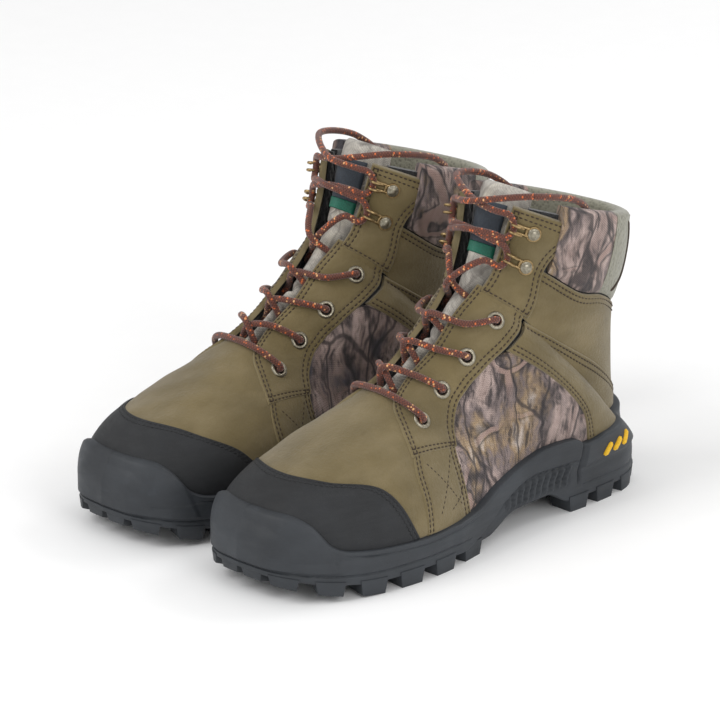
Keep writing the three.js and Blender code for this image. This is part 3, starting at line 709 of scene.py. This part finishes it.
def lace_yarn():
    """Round braid in brown yarn with orange flecks, from the lace's own length and turn."""
    m = Shader("lace", Roughness=0.7, Sheen_Weight=0.3)
    uv = m.node("UVMap", {"uv_map": "length"}).outputs[0]
    parts = m.node("SeparateXYZ", Vector=uv)
    along = m.times(parts.outputs[0], BRAID_PITCH)
    around = m.times(parts.outputs[1], BRAID_TURNS)
    left = m.maths("ADD", around, along)
    right = m.maths("SUBTRACT", around, along)
    cell = m.node("CombineXYZ", X=m.maths("FLOOR", left), Y=m.maths("FLOOR", right)).outputs[0]
    chance = m.node("TexWhiteNoise", {"noise_dimensions": "2D"}, Vector=cell).outputs[0]
    ridge = m.times(m.maths("PINGPONG", left, 0.5), m.maths("PINGPONG", right, 0.5))
    fibre = m.noise(1500, 4)
    tone = m.ramp(fibre, (0.35, srgb(84, 42, 28)), (0.6, srgb(122, 62, 42)), (0.8, srgb(150, 84, 58)))
    fleck = m.ramp(chance, (0.87, 0.0), (0.88, 1.0))
    tone = m.mix(m.times(fleck, 0.9), tone, srgb(222, 110, 50))
    tone = m.mix(m.ramp(chance, (0.955, 0.0), (0.96, 0.9)), tone, srgb(235, 178, 120))
    tone = m.mix(m.ramp(ridge, (0.01, 0.75), (0.08, 0.0)), tone, srgb(38, 18, 14))
    m.finish(tone, ridge, 0.0012)


def plain(name, dark, light, roughness, scale, depth):
    m = Shader(name, Roughness=roughness)
    grain = m.noise(scale, 5)
    m.finish(m.ramp(grain, (0.35, srgb(*dark)), (0.65, srgb(*light))), grain, depth)


# name: darker and lighter tone, roughness, scale of the grain and its depth
PLAIN = {
    "thread_brown": ((44, 33, 24), (66, 51, 38), 0.7, 3000, 0.0002),
    "thread_black": ((10, 10, 11), (28, 28, 30), 0.5, 3000, 0.0002),
    "foam": ((44, 46, 48), (60, 62, 64), 0.8, 600, 0.0002),
    "board": ((120, 102, 76), (140, 122, 94), 0.85, 600, 0.0002),
    "dark_leather": ((48, 36, 28), (70, 54, 42), 0.6, 900, 0.0003),
    "label_slate": ((44, 50, 58), (62, 70, 80), 0.6, 1800, 0.0001),
    "label_green": ((8, 84, 66), (20, 110, 88), 0.5, 1800, 0.0001),
    "mark_yellow": ((222, 170, 10), (240, 192, 30), 0.5, 1200, 0.00005),
    "aglet_plastic": ((30, 20, 16), (50, 34, 26), 0.3, 900, 0.00003),
    "floor": ((251, 251, 251), (252, 252, 252), 0.9, 40, 0.00001),
}
CAMO_TONES = [(0.34, srgb(88, 84, 90)), (0.42, srgb(152, 131, 124)), (0.5, srgb(192, 170, 162)),
              (0.57, srgb(130, 116, 114)), (0.64, srgb(166, 140, 108)), (0.74, srgb(216, 204, 198))]
PALE_CAMO_TONES = [(0.3, srgb(168, 163, 154)), (0.5, srgb(200, 194, 184)), (0.65, srgb(214, 206, 190)),
                   (0.8, srgb(150, 134, 118))]


def make_materials():
    nubuck()
    rubber("sole_rubber", srgb(38, 41, 45), srgb(54, 58, 63), 0.55, 1500, 0.00012)
    rubber("toe_rubber", srgb(26, 27, 29), srgb(37, 39, 42), 0.6, 2300, 0.00035)
    camouflage("camo", CAMO_TONES, srgb(38, 33, 36), srgb(170, 142, 132), 0.85)
    camouflage("tongue_camo", PALE_CAMO_TONES, srgb(98, 92, 88), srgb(128, 118, 108), 0.4)
    lining_cloth("lining", srgb(14, 14, 15), srgb(44, 44, 46))
    lining_cloth("collar_cloth", srgb(104, 102, 88), srgb(132, 130, 114))
    metal("nickel", srgb(158, 152, 136), srgb(92, 84, 68), 0.36)
    metal("antique_brass", srgb(166, 142, 102), srgb(84, 66, 44), 0.36)
    lace_yarn()
    for name, look in PLAIN.items():
        plain(name, *look)


# ---------- camera ----------
VIEW_AZIMUTH = 46.3
VIEW_ELEVATION = 19.5
VIEW_DISTANCE = 2.6
LENS = 218.4                     # on a 36 mm sensor


def make_camera():
    azimuth = math.radians(VIEW_AZIMUTH)
    elevation = math.radians(VIEW_ELEVATION)
    toward = Vector((math.sin(azimuth) * math.cos(elevation), -math.cos(azimuth) * math.cos(elevation),
                     math.sin(elevation)))
    right = Vector((math.cos(azimuth), math.sin(azimuth), 0))
    target = Vector((0, 0, 0.089)) - right * 0.0015
    data = bpy.data.cameras.new("camera")
    data.lens = LENS
    data.sensor_width = 36
    made = bpy.data.objects.new("camera", data)
    made.location = target + toward * VIEW_DISTANCE
    made.rotation_euler = (-toward).to_track_quat("-Z", "Y").to_euler()
    bpy.context.scene.collection.objects.link(made)
    bpy.context.scene.camera = made


# ---------- the lace ----------
LACE_D = 4.2
LACE_SIDES = 14
LACE_STEP = 0.55                 # between the cord's rings
LACE_SPAN = 14                   # curve points between two places on its route
AGLET_R = 2.35
AGLET_POINTS = 34                # rings of the cord that the aglet covers


def lace_strand(side):
    """Route from the bottom bar to the top crossing: eyelets, crossings, hooks."""
    places = [(0.388, side * 0.2, 6.2)]
    over = side
    for row, (s, a) in enumerate(EYELETS):
        places += [(s, over * (a - 0.003), 5.4), (s, over * a, 1.5), (s, over * a, -2.4),
                   (s + 0.008, over * (a - 0.08), -4.4), (s + 0.022, over * 0.15, -4.2)]
        high = (row % 2 == 0) == (side > 0)
        places.append((s + 0.042, 0, 4.5 if high else 9.6))
        over = -over
        if row < len(EYELETS) - 1:
            places.append((s + 0.064, over * 0.15, 7.2))
    for row, (s, a) in enumerate(HOOKS):
        places += [(s - 0.032, over * (a - 0.16), 6.8), (s - 0.029, over * (a - 0.1), 6.8),
                   (s, over * (a - 0.078), 6.4), (s + 0.029, over * (a - 0.1), 6.8),
                   (s + 0.032, over * (a - 0.16), 6.8)]
        high = (row % 2 == 0) == (side > 0)
        places.append((s + 0.04, 0, 4 if high else 9.4))
        over = -over
    return [off(min(s, 1), a, np.array(float(out))) for s, a, out in places]


def lace_tail(side):
    """Route of a loose end: over the rim and down inside the boot to the footbed."""
    places = [off(1, side * 0.24, np.array(6.0)) + [0, 0, 7],
              off(1, side * 0.45, np.array(-3.0)) + [0, 0, 6.5]]
    places += [off(s, side * 0.56, np.array(float(out)))
               for s, out in ((0.985, -9), (0.93, -10), (0.87, -10), (0.8, -10), (0.74, -11))]
    places += [np.array(p, float) for p in ((side * 20, 76, 46), (side * 17, 58, 35.5), (side * 12, 40, 34),
                                            (side * 7, 15, 34), (side * 8, -10, 34))]
    return places


def lace_cord(points):
    """The braided cord, with its braid as shape and its length as UV, and its centre line."""
    length = travelled(points)
    at = np.linspace(0, length[-1], int(length[-1] / LACE_STEP) + 1)
    share = np.arange(LACE_SIDES) / LACE_SIDES
    left = share[None] * BRAID_TURNS + at[:, None] * BRAID_PITCH
    right = share[None] * BRAID_TURNS - at[:, None] * BRAID_PITCH
    plait = np.abs(np.sin(math.pi * left)) * np.abs(np.sin(math.pi * right))
    uv = []
    for low, high in zip(at, at[1:]):
        for j in range(LACE_SIDES):
            a, b = j / LACE_SIDES, (j + 1) / LACE_SIDES
            uv.append(((low, a), (high, a), (high, b), (low, b)))
    uv += [[(0, 0)] * LACE_SIDES] * 2
    line = sampled(points, length, at)
    return wrapped(line, LACE_D / 2 * (0.93 + 0.07 * plait), LACE_SIDES, uv=uv), line


def make_lace():
    """The laced stretch and its two loose ends, each end with its aglet."""
    whole = [*reversed(lace_tail(-1)), *reversed(lace_strand(-1)), *lace_strand(1), *lace_tail(1)]
    line = catmull_rom(np.array(whole), LACE_SPAN)
    tail = len(lace_tail(1)) * LACE_SPAN
    cut = tail - LACE_SPAN
    pieces = {"lace": line[cut:-cut], "lace_end_inner": line[:cut + 1][::-1],
              "lace_end_outer": line[-cut - 1:]}
    for name, points in pieces.items():
        part, centre = lace_cord(points)
        both = place(name, part, "lace", replaces=("lace",), slot="lace", sharp=80)
        if name == "lace":
            continue
        beyond = centre[-1] + (centre[-1] - centre[-3]) / 2 * np.arange(1, 4)[:, None]
        sleeve = tube(np.vstack([centre[-AGLET_POINTS:], beyond]), AGLET_R, 16)
        aglets = place(name.replace("lace_end", "aglet"), sleeve, "aglet_plastic")


# ---------- the sole ----------
RIB_PITCH = 5.8
WALL_HEIGHTS = np.arange(24.0, 56.0, 2.0)
WALL_HALF = 430                  # points along each side of the wall
WALL_ROWS = 56
LASTED_SKIN = 2.6                # the upper's outer face where the wall leans on it
RAY_START = 30


def lift(y):
    toe = np.maximum((LIFT_START - y) / (154 + LIFT_START), 0)
    heel = np.maximum((y - 125) / 29, 0)
    return TOE_LIFT * toe**2 + HEEL_LIFT * heel**2


def lifted(points):
    """Toe and heel spring, fading out at the top of the plate."""
    fade = np.clip(1 - points[..., 2] / 30, 0, None)
    points = points.copy()
    points[..., 2] += lift(points[..., 1]) * fade
    return points


def wall_foot(y):
    """Lower edge of the side wall: level with the lugs' roots, raised under the arch."""
    return 7.5 + 8.5 * step(-4, 26, y) * (1 - step(56, 74, y))


def wall_top(y):
    knots, heights = np.array(GUARD_TOP, float).T
    return smooth(knots, heights, y)


def wall_relief(y, z):
    """How far the side wall's panels, ribs and grooves stand out from its plain face."""
    top = wall_top(y)
    guard = step(-123, -126.5, y + 0.35 * (z - 30)) * step(15, 16.5, z)
    out = 1.3 * guard - 0.9 * bump_line(z - 13.5, 0.7) * step(-18, -26, y)
    fore = step(-120, -112, y) * (1 - step(-24, -10, y))
    out = out - 0.7 * bump_line(top - 3.2 - z, 0.6) * fore
    sweep = 15 + 27 * step(-34, 44, y)
    arch = step(-40, -30, y) * (1 - step(79, 80.5, y))
    out = out + 1.5 * arch * step(sweep - 9, sweep - 7.6, z)
    out = out - 0.8 * arch * step(4, 10, y) * bump_line(sweep - 10.4 - z, 1.1)
    ribbed = arch * step(14, 18, y) * (1 - step(72, 75, y)) * step(17, 20, z)
    ribbed = ribbed * (1 - step(sweep - 11.5, sweep - 9.5, z))
    out = out + 1.2 * ribbed * np.clip(1.6 * np.sin((y - 0.25 * z) * 2 * math.pi / RIB_PITCH), -1, 1)
    out = out - 1.9 * bump_line(y - 81.8, 1.0) * step(15, 18, z)
    heel = step(84, 85.5, y)
    out = out + 1.3 * heel * step(26.0, 27.0, z - 0.05 * (y - 84))
    return out - 0.8 * heel * bump_line(z - 15, 0.8)


def eased(reach):
    """Even out distances round the loop: the middle of nearby values, then a moving average."""
    middle = np.median([np.roll(reach, k, 0) for k in range(-13, 14)], axis=0)
    return np.mean([np.roll(middle, k, 0) for k in range(-4, 5)], axis=0)


def reach_to_upper(loop, outward):
    """How far out from each point of the sole's outline the upper is, at each of WALL_HEIGHTS."""
    s = np.linspace(0.012, 1, 150)[:, None]
    around = np.linspace(-0.999, 0.999, 180)[None]
    skin = off(s, around, np.full((150, 180), LASTED_SKIN))
    tree = BVHTree.FromPolygons(skin.reshape(-1, 3).tolist(), grid_faces(150, 180))
    reach = np.zeros((len(loop), len(WALL_HEIGHTS)))
    for i, (point, direction) in enumerate(zip(loop, outward)):
        for k, height in enumerate(WALL_HEIGHTS):
            start = Vector(point + direction * RAY_START + [0, 0, height])
            hit = tree.ray_cast(start, Vector(-direction), 80)
            missed = reach[i, max(k - 1, 0)] - 3.3 * (k < 2)
            reach[i, k] = missed if hit[0] is None else RAY_START - hit[3]
    return eased(reach)


def wall():
    """Side wall, toe guard and heel wrap, leaned on the upper by casting rays at it."""
    share = np.linspace(0.0008, 0.9992, WALL_HALF)
    x, y = outline(np.repeat([1, -1], WALL_HALF), np.concatenate([share, share[::-1]]))
    loop = np.stack([x, y, 0 * x], -1)
    tangent = unit(np.roll(loop, -1, 0) - np.roll(loop, 1, 0))
    outward = np.stack([tangent[:, 1], -tangent[:, 0], 0 * x], -1)
    reach = reach_to_upper(loop, outward)

    def lean(heights):
        return np.stack([np.interp(zi, WALL_HEIGHTS, ri) for zi, ri in zip(heights, reach)])

    def section(distance, height):
        points = loop[:, None] + outward[:, None] * distance[..., None]
        points[..., 2] = height
        return points

    top = wall_top(y)[:, None]
    foot = wall_foot(y)[:, None]
    z = foot + (top - foot) * np.linspace(0, 1, WALL_ROWS)[None]
    leaning = step(20, 31, z)
    base = (lean(z) + 3.5) * leaning + 0.2 * (1 - leaning)
    behind_tip = step(-146, -126, y)[:, None]
    base = np.maximum(base, 0.2 - 9 * step(34, 58, z) - 9 * behind_tip)
    rounding = 1.7 * (1 - roll(top - z, 2.0)) + 0.7 * (1 - roll(z - foot, 0.9))
    out = base + wall_relief(y[:, None], z) - rounding

    inside_z = top + (19.0 - top) * np.linspace(0, 1, 10)[None]
    shelf = np.repeat([[-9.0, -12.0, -12.0]], len(y), 0)
    shelf_z = np.concatenate([np.full((len(y), 1), 18.0), np.full((len(y), 1), 16.5), foot + 0.2], 1)
    grid = np.concatenate([section(out, z), section(lean(inside_z) - 0.9, inside_z),
                           section(shelf, shelf_z)], 1)
    return shape(lifted(grid), grid_faces(*grid.shape[:2], wrap_u=True, wrap_v=True))


def tread_plate():
    """The flat plate between the side walls, following their lower edge."""
    q = np.linspace(0.03, 0.985, 150)
    right_x, right_y = outline(np.ones(150), q, 9.0)
    left_x, left_y = outline(-np.ones(150), q, 9.0)
    t = np.linspace(0, 1, 24)[None]
    x = right_x[:, None] + (left_x - right_x)[:, None] * t
    y = right_y[:, None] + (left_y - right_y)[:, None] * t
    low = lifted(np.stack([x, y, wall_foot(y) + 0.7], -1))
    high = lifted(np.stack([x, y, np.full(x.shape, PLATE_TOP)], -1))
    return shell(low, high)


def block(low_corners, high_corners):
    """A tread block between two matching four-sided outlines, at z 0 and at its root."""
    def face(corners, z):
        a, b, c, d = (np.asarray(p, float) for p in corners)
        u = np.linspace(0, 1, 5)[:, None, None]
        v = np.linspace(0, 1, 3)[None, :, None]
        flat = (a * (1 - u) + b * u) * (1 - v) + (d * (1 - u) + c * u) * v
        return lifted(np.concatenate([flat, np.full((*flat.shape[:2], 1), float(z))], -1))
    return shell(face(low_corners, 0), face(high_corners, LUG_ROOT))


def edge_lug(side, start, end, depth, flare=0.0):
    """A tread lug from the sole's edge inward, curved with the edge and narrower at the ground."""
    def face(q, near, far, z):
        grid = []
        for inset in (near, (near + far) / 2, far):
            x, y = outline(np.full(q.shape, side), q, inset)
            grid.append(np.stack([x, y, np.full(q.shape, float(z))], -1))
        return lifted(np.stack(grid, 1))

    low = face(np.linspace(start + 0.0045, end - 0.0045, 6), 0.9 - flare, depth - 1.5, 0)
    high = face(np.linspace(start, end, 6), 0.1 - flare, depth, LUG_ROOT)
    return shell(low, high)


FOREFOOT_LUGS = 6
HEEL_LUGS = 4
CHEVRONS = (-118, -90, -62, -34)
HEEL_BARS = (82, 104)


def lugs():
    parts = []
    for side in SIDES.values():
        parts.append(edge_lug(side, 0.004, 0.047, 16))
        for i in range(FOREFOOT_LUGS):
            start = 0.06 + i * 0.075
            parts.append(edge_lug(side, start, start + 0.05, 20, 0.9))
        for i in range(HEEL_LUGS):
            start = 0.715 + i * 0.066
            parts.append(edge_lug(side, start, start + 0.046, 17, 0.9))
    for y in CHEVRONS:
        for x0, x1, tip in ((-22, -0.8, 7), (22, 0.8, 7)):
            low = [(x0, y + 1), (x1, y + tip + 1), (x1, y + tip + 11), (x0, y + 11)]
            high = [(x0, y), (x1, y + tip), (x1, y + tip + 12), (x0, y + 12)]
            parts.append(block(low, high))
    for y in HEEL_BARS:
        parts.append(block([(-15, y + 1), (15, y + 1), (15, y + 11), (-15, y + 11)],
                           [(-16, y), (16, y), (16, y + 12), (-16, y + 12)]))
    return joined(parts)


def heel_marks(tree):
    """Three plain slanted bars in relief on the outer side of the heel."""
    bars = []
    for k in range(3):
        start = np.array([101 + k * 8.5, 30.5 + 1.2 * k])
        path = np.linspace(start, start + [4.0, 8.0], 8)
        hits = [tree.ray_cast(Vector((100, y, z)), Vector((-1, 0, 0)))[0] for y, z in path]
        bars.append(tube(np.array(hits), 1.9, 12))
    return joined(bars)


def make_sole():
    side_wall = wall()
    stand_in("outsole", joined([side_wall, tread_plate()]), "sole_rubber", sharp=50)
    place("lugs", lugs(), "sole_rubber", slot="sole_rubber", sharp=40, bevel=0.8)
    tree = BVHTree.FromPolygons(side_wall["v"].tolist(), side_wall["f"])
    place("heel_mark", heel_marks(tree), "mark_yellow")


# ---------- the upper's panels ----------
def make_front():
    toe_front = [[0.03, a] for a in (-0.997, -0.65, -0.32, 0, 0.32, 0.65, 0.997)]
    toe = panel(TOE_SEAM, toe_front, OVER - 0.2, rows_a=(2.4, 5.4), colour="black", crease=0.1)
    stand_in("toe_cap", toe, "toe_rubber")
    under_straps = STRAP_FRONT[1:]
    vamp_back = inner(under_straps, -1)[::-1] + THROAT + under_straps
    vamp = panel(shifted(vamp_back, 0.018), shifted(TOE_SEAM, -0.02), UNDER, crease=0.35)
    stand_in("vamp", vamp, "nubuck")


def make_side(word, side):
    def line(points):
        return inner(points, side)

    stay = panel(line(EYESTAY_FRONT), line(EYESTAY_BACK), OVER, rows_a=DOUBLE_ROW, rows_b=DOUBLE_ROW,
                 rows_0=(2.0, 4.8), ends=(True, True))
    hole = lathe([[EYELET_HOLE, -4], [EYELET_HOLE, 8]], 24, closed=False)
    holes = [turned_to(hole, *seat(s, a * side)) for s, a in EYELETS]
    stand_in(f"{word}_eyestay", stay, "nubuck", cut=joined(holes))
    strap = panel(line(LOWER_STRAP_FRONT), line(LOWER_STRAP_BACK), OVER - 0.5, rows_a=DOUBLE_ROW,
                  rows_b=DOUBLE_ROW)
    place(f"{word}_lower_strap", strap, "nubuck", slot="nubuck")
    for points in STRAP_STITCHES:
        sew_line(line(points), OVER - 0.6)
    camo = panel(line(CAMO_TOP), line(CAMO_FRONT), UNDER - 0.3, puff=0.5)
    stand_in(f"{word}_side_panel", camo, "camo")
    hook = panel(line(HOOK_FRONT), line(HOOK_BACK), OVER + 0.6, rows_a=DOUBLE_ROW, rows_b=DOUBLE_ROW,
                 rows_0=(2.2,), rows_1=DOUBLE_ROW, ends=(True, True))
    stand_in(f"{word}_hook_panel", hook, "nubuck")


def make_back():
    quarter = panel(round_back(QUARTER_TOP), round_back(QUARTER_LOW), OVER - 0.2, rows_a=DOUBLE_ROW,
                    rows_b=DOUBLE_ROW, crease=0.15)
    stand_in("heel_quarter", quarter, "nubuck")
    ankle_top = [[0.87, 0.32]] + COLLAR_LINE[1:]
    ankle_low = [[0.752, 0.28]] + shifted(QUARTER_TOP, -0.02)[1:]
    ankle = panel(round_back(ankle_top), round_back(ankle_low), UNDER, rows_a=(2.2, 4.8), crease=0.3)
    stand_in("ankle_panel", ankle, "nubuck")
    for side in SIDES.values():
        sew_line(inner(HEEL_STITCHES, side), OVER - 0.3)


# ---------- collar, tongue and lining ----------
QUILT = 0.62                     # where the collar's camouflage fronts end
COLLAR_INSIDE = 5.5
COLLAR_CROWN = 3.2
TONGUE_WIDTH = 0.265             # half width, as around
TONGUE_CHANNELS = (52, 96, 128)
LABEL_WIDTH = 0.13


def band_swell(t, low, high):
    """How far a padded band stands out at share t of its height."""
    return low + (high - low) * np.sin(math.pi * np.clip(t, 0, 1) ** 0.8 * 0.72) ** 0.8


def padded_band(columns, swell_out):
    """A padded band over the rim: its outer face, rounded top and inner face as one closed shape."""
    around = columns[:, None]
    t = np.linspace(0, 1, 26)[None]
    s_low = collar_low(around) + 0.002
    swell = band_swell(t, 0.6, swell_out)
    outside = off(s_low + (1 - s_low) * t, around, swell + 0 * around)
    edge = swell[0, -1]
    arc = np.linspace(0.12, 0.88, 8)[None] * math.pi
    top = off(1, around, (edge - COLLAR_INSIDE) / 2 + (edge + COLLAR_INSIDE) / 2 * np.cos(arc) + 0 * around)
    top = top + np.array([0, 0, COLLAR_CROWN]) * np.sin(arc)[..., None]
    down = np.linspace(1, 0.9, 12)[None]
    inside = off(down, around, -COLLAR_INSIDE - 0.1 + 0 * down * around)
    grid = np.concatenate([outside, top, inside], 1)
    rows, points = grid.shape[:2]
    return shape(grid, grid_faces(rows, points, wrap_v=True) + end_caps(rows, points))


def collar_low(around):
    """s of the collar's lower seam."""
    s, a = np.array(round_back(COLLAR_LINE)).T
    return smooth(a, s, around)


def make_collar():
    spans = {"collar_front_outer": (0.36, QUILT, "camo", 5.2),
             "collar": (QUILT - 0.004, 2 - QUILT + 0.004, "collar_cloth", 5.6),
             "collar_front_inner": (2 - QUILT, 1.64, "camo", 5.2)}
    for name, (start, end, cloth, swell) in spans.items():
        columns = np.linspace(start, end, max(int((end - start) * 110), 12))
        both = place(name, padded_band(columns, swell), cloth, replaces=("collar",), slot="camo", sharp=60)
    for word, side in SIDES.items():
        s, a = on_line(inner(PIPING, side), np.linspace(0, 1, 40))
        cord = off(s, a, band_swell((s - 0.89) / 0.11, 0.6, 5.6))
        place(f"{word}_collar_piping", tube(cord, 0.9, 10), "thread_brown")
    tab_top = [[0.999, 1 + a] for a in (-0.14, -0.07, 0, 0.07, 0.14)]
    tab_low = [[0.93, 1 + a] for a in (-0.12, -0.06, 0, 0.06, 0.12)]
    tab = panel(tab_top, tab_low, 7.0, rows_b=(1.8,), rows_a=(1.8,), low=4.4, ends=(True, True))
    place("back_tab", tab, "dark_leather")


def tongue_crown(a):
    """The ridge along the middle of the tongue."""
    return 5.2 * np.exp(-((a / 0.085) ** 2))


def tongue_sides(t):
    """The tongue's rounded long edges, at share t of its half width."""
    return roll((1 - np.abs(t)) * 24, 7)


def tongue_flare(s, droop):
    """The tongue's top leans forward and stands over the rim."""
    return np.array([0, 4.0, 7.0]) * step(0.93, 1.0, s)[..., None] * (1 - 0.35 * droop[..., None] ** 2)


def make_tongue():
    """Padded tongue with sewn channels across it, and its label."""
    s = np.linspace(0.383, 1, 120)[:, None]
    t = np.linspace(-1, 1, 40)[None]
    a = t * (TONGUE_WIDTH - 0.02 * step(0.9, 1.0, s))
    length = travelled(upper(s[:, 0], np.zeros(len(s))))[:, None]
    channel = sum(bump_line(length - mark, 2.2) for mark in TONGUE_CHANNELS)
    rim = tongue_sides(t) * roll(length[-1] - length, 5)
    plump = rim * (1 - 0.45 * channel)
    wrinkle = 0.35 * np.sin(length / 4.1 + 3 * t) * np.sin(5 * t + length / 13)
    crown = tongue_crown(a) * roll(length[-1] - length, 9)
    front = off(s, a, -10.2 + 3.1 * plump + (wrinkle + crown * (1 - 0.35 * channel)) * rim)
    back = off(s, a, -10.6 - 1.8 * plump)
    flare = tongue_flare(s, t)
    both = stand_in("tongue", shell(front + flare, back + flare), "tongue_camo", flap=True, sharp=60)
    place("label", tongue_patch(0.865, 0.965, 1.0), "label_slate", flap=True)
    place("label_band", tongue_patch(0.835, 0.868, 1.15), "label_green", flap=True)


def tongue_patch(start, end, thick):
    """A patch across the tongue's face between two s values."""
    s = np.linspace(start, end, 30)[:, None]
    t = np.linspace(-1, 1, 24)[None]
    a = t * LABEL_WIDTH
    edge = np.minimum(roll((1 - np.abs(t)) * 14, 0.8), roll(np.minimum(s - start, end - s) * 250, 0.8))
    base = -9.9 + 3.1 * tongue_sides(a / TONGUE_WIDTH) + tongue_crown(a)
    flare = tongue_flare(s, a / 0.25)
    return shell(off(s, a, base + thick * edge) + flare, off(s, a, base - 1.2 + 0 * edge) + flare)


def make_lining():
    """The padded sock: open at the top, slotted at the throat, joined up the back seam."""
    s = np.linspace(0.38, 0.99, 90)[:, None]
    a = np.linspace(0.235, 1.765, 110)[None] + 0 * s
    quilting = 0.35 * np.sin(s * 260) * np.sin(a * 34)
    shaft = shell(off(s, a, np.full(a.shape, -1.2)), off(s, a, -5.0 + quilting))
    s = np.linspace(0.035, 0.384, 70)[:, None]
    a = np.linspace(-0.97, 0.97, 110)[None] + 0 * s
    forefoot = shell(off(s, a, np.full(a.shape, -1.2)), off(s, a, np.full(a.shape, -5.0)))
    stand_in("lining", joined([shaft, forefoot]), "lining", sharp=60)
    for word, side in SIDES.items():
        s = np.linspace(0.4, 0.985, 100)[:, None]
        t = np.linspace(0, 1, 20)[None]
        a = side * (0.2 + 0.08 * t)
        sag = -2.6 - 2.6 * np.sin(math.pi * t * 0.5) + 0.4 * np.sin(s * 190 + t * 9)
        gusset = shell(off(s, a, np.full(sag.shape, -0.6)), off(s, a, sag))
        place(f"{word}_gusset", gusset, "lining", slot="lining")


def make_footbed():
    """Contoured removable footbed with a raised rim and heel cup."""
    half = np.linspace(0.002, 0.998, 90)
    edge_x, edge_y = outline(np.repeat([1, -1], 90), np.concatenate([half, half[::-1]]), 18.0)
    spine_y = np.clip(edge_y, -120, 118)
    inward = np.linspace(0, 1, 22)[None]
    x = edge_x[:, None] * (1 - inward)
    y = edge_y[:, None] + (spine_y - edge_y)[:, None] * inward
    dish = 0.8 + 3.2 * (1 - inward) ** 2.5
    cup = 1 + 0.6 * step(60, 100, y)
    top = np.stack([x, y, 27.2 + dish * cup * roll(inward * 30, 1.5)], -1)
    low = np.stack([x, y, np.full(x.shape, 26.6)], -1)
    grid = np.concatenate([low[:, ::-1], top], 1)
    part = shape(grid, grid_faces(*grid.shape[:2], wrap_u=True, wrap_v=True))
    for made in stand_in("footbed", part, "lining", sharp=60).values():
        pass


# ---------- hardware ----------
PRONG = [(1.5, 4.2), (5, 4.2), (9, 4.2), (12.6, 4.4), (14.8, 5.6), (15.4, 7.4), (14.6, 9.3), (12.6, 10.1),
         (10.2, 10.0), (8.2, 9.2)]


def make_hardware():
    r = EYELET_HOLE
    ring = lathe([[r - 0.35, -1.0], [r - 0.35, 3.6], [r - 0.1, 4.05], [r + 0.4, 4.3], [r + 1.1, 4.35],
                  [r + 1.8, 4.1], [r + 2.2, 3.6], [r + 2.25, 3.2], [r + 0.1, 3.1], [r + 0.1, -1.0]], 40)
    rivet = lathe([[0.01, 3.6], [3.6, 3.6], [3.75, 4.9], [3.4, 5.4], [2.9, 5.55], [2.4, 6.1], [1.5, 6.5],
                   [0.7, 6.62], [0.01, 6.65]], 36, closed=False)
    for word, side in SIDES.items():
        for i, (s, a) in enumerate(EYELETS, 1):
            stand_in(f"{word}_eyelet_{i}", turned_to(ring, *seat(s, a * side)), "nickel", sharp=60)
        for i, (s, a) in enumerate(HOOKS, 1):
            where = seat(s, a * side)
            stand_in(f"{word}_hook_{i}", turned_to(lace_hook(-side), *where), "antique_brass", sharp=60)
            place(f"{word}_hook_rivet_{i}", turned_to(rivet, *where), "nickel", slot="nickel")


def lace_hook(inward):
    """Base plate under the rivet and two prongs that run inward and curl back over the lace."""
    parts = [lathe([[0.01, 3.5], [4.6, 3.5], [4.8, 4.0], [4.5, 4.6], [0.01, 4.7]], 36, closed=False)]
    for lateral in (-2.2, 2.2):
        points = np.array([[inward * x, lateral, z] for x, z in PRONG])
        parts.append(tube(catmull_rom(points, 6), 0.85, 12))
    bridge = np.array([[inward * x, y, 4.3] for x, y in ((4.2, -2.2), (4.6, -1), (4.6, 1), (4.2, 2.2))])
    parts.append(tube(catmull_rom(bridge, 5), 0.9, 10))
    return joined(parts)


# ---------- studio ----------
def area_light(name, location, size, power):
    data = bpy.data.lights.new(name, "AREA")
    data.size = size
    data.energy = power
    made = bpy.data.objects.new(name, data)
    made.location = location
    made.rotation_euler = (Vector((0, 0, 0.09)) - made.location).to_track_quat("-Z", "Y").to_euler()
    bpy.context.scene.collection.objects.link(made)


def make_studio():
    bpy.ops.mesh.primitive_plane_add(size=30)
    floor = bpy.context.object
    floor.name = "floor"
    floor.data.materials.append(materials["floor"])
    area_light("key", (-0.6, -1.9, 1.9), 1.3, 27)
    area_light("fill", (2.2, -0.4, 1.2), 1.2, 15)
    area_light("rim", (0.4, 1.9, 1.7), 1.2, 12)
    world = bpy.data.worlds.new("studio")
    world.use_nodes = True
    world.node_tree.nodes["Background"].inputs["Color"].default_value = (1, 1, 1, 1)
    world.node_tree.nodes["Background"].inputs["Strength"].default_value = 0.7
    bpy.context.scene.world = world
    bpy.context.scene.view_settings.view_transform = "Standard"


make_camera()
make_materials()
make_lace()
make_sole()
make_front()
for word, side in SIDES.items():
    make_side(word, side)
make_back()
make_collar()
make_tongue()
make_lining()
make_footbed()
make_hardware()
for thread, rows in stitches.items():
    if rows:
        place(f"stitching_{thread}", stitch_shape(rows), f"thread_{thread}", sharp=80)
for node, material in (("midsole", "foam"), ("insole_board", "board")):
    for foot in FEET:
        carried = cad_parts[f"{foot}_{node}"]
        carried.data.materials.clear()
        carried.data.materials.append(materials[material])
make_studio()
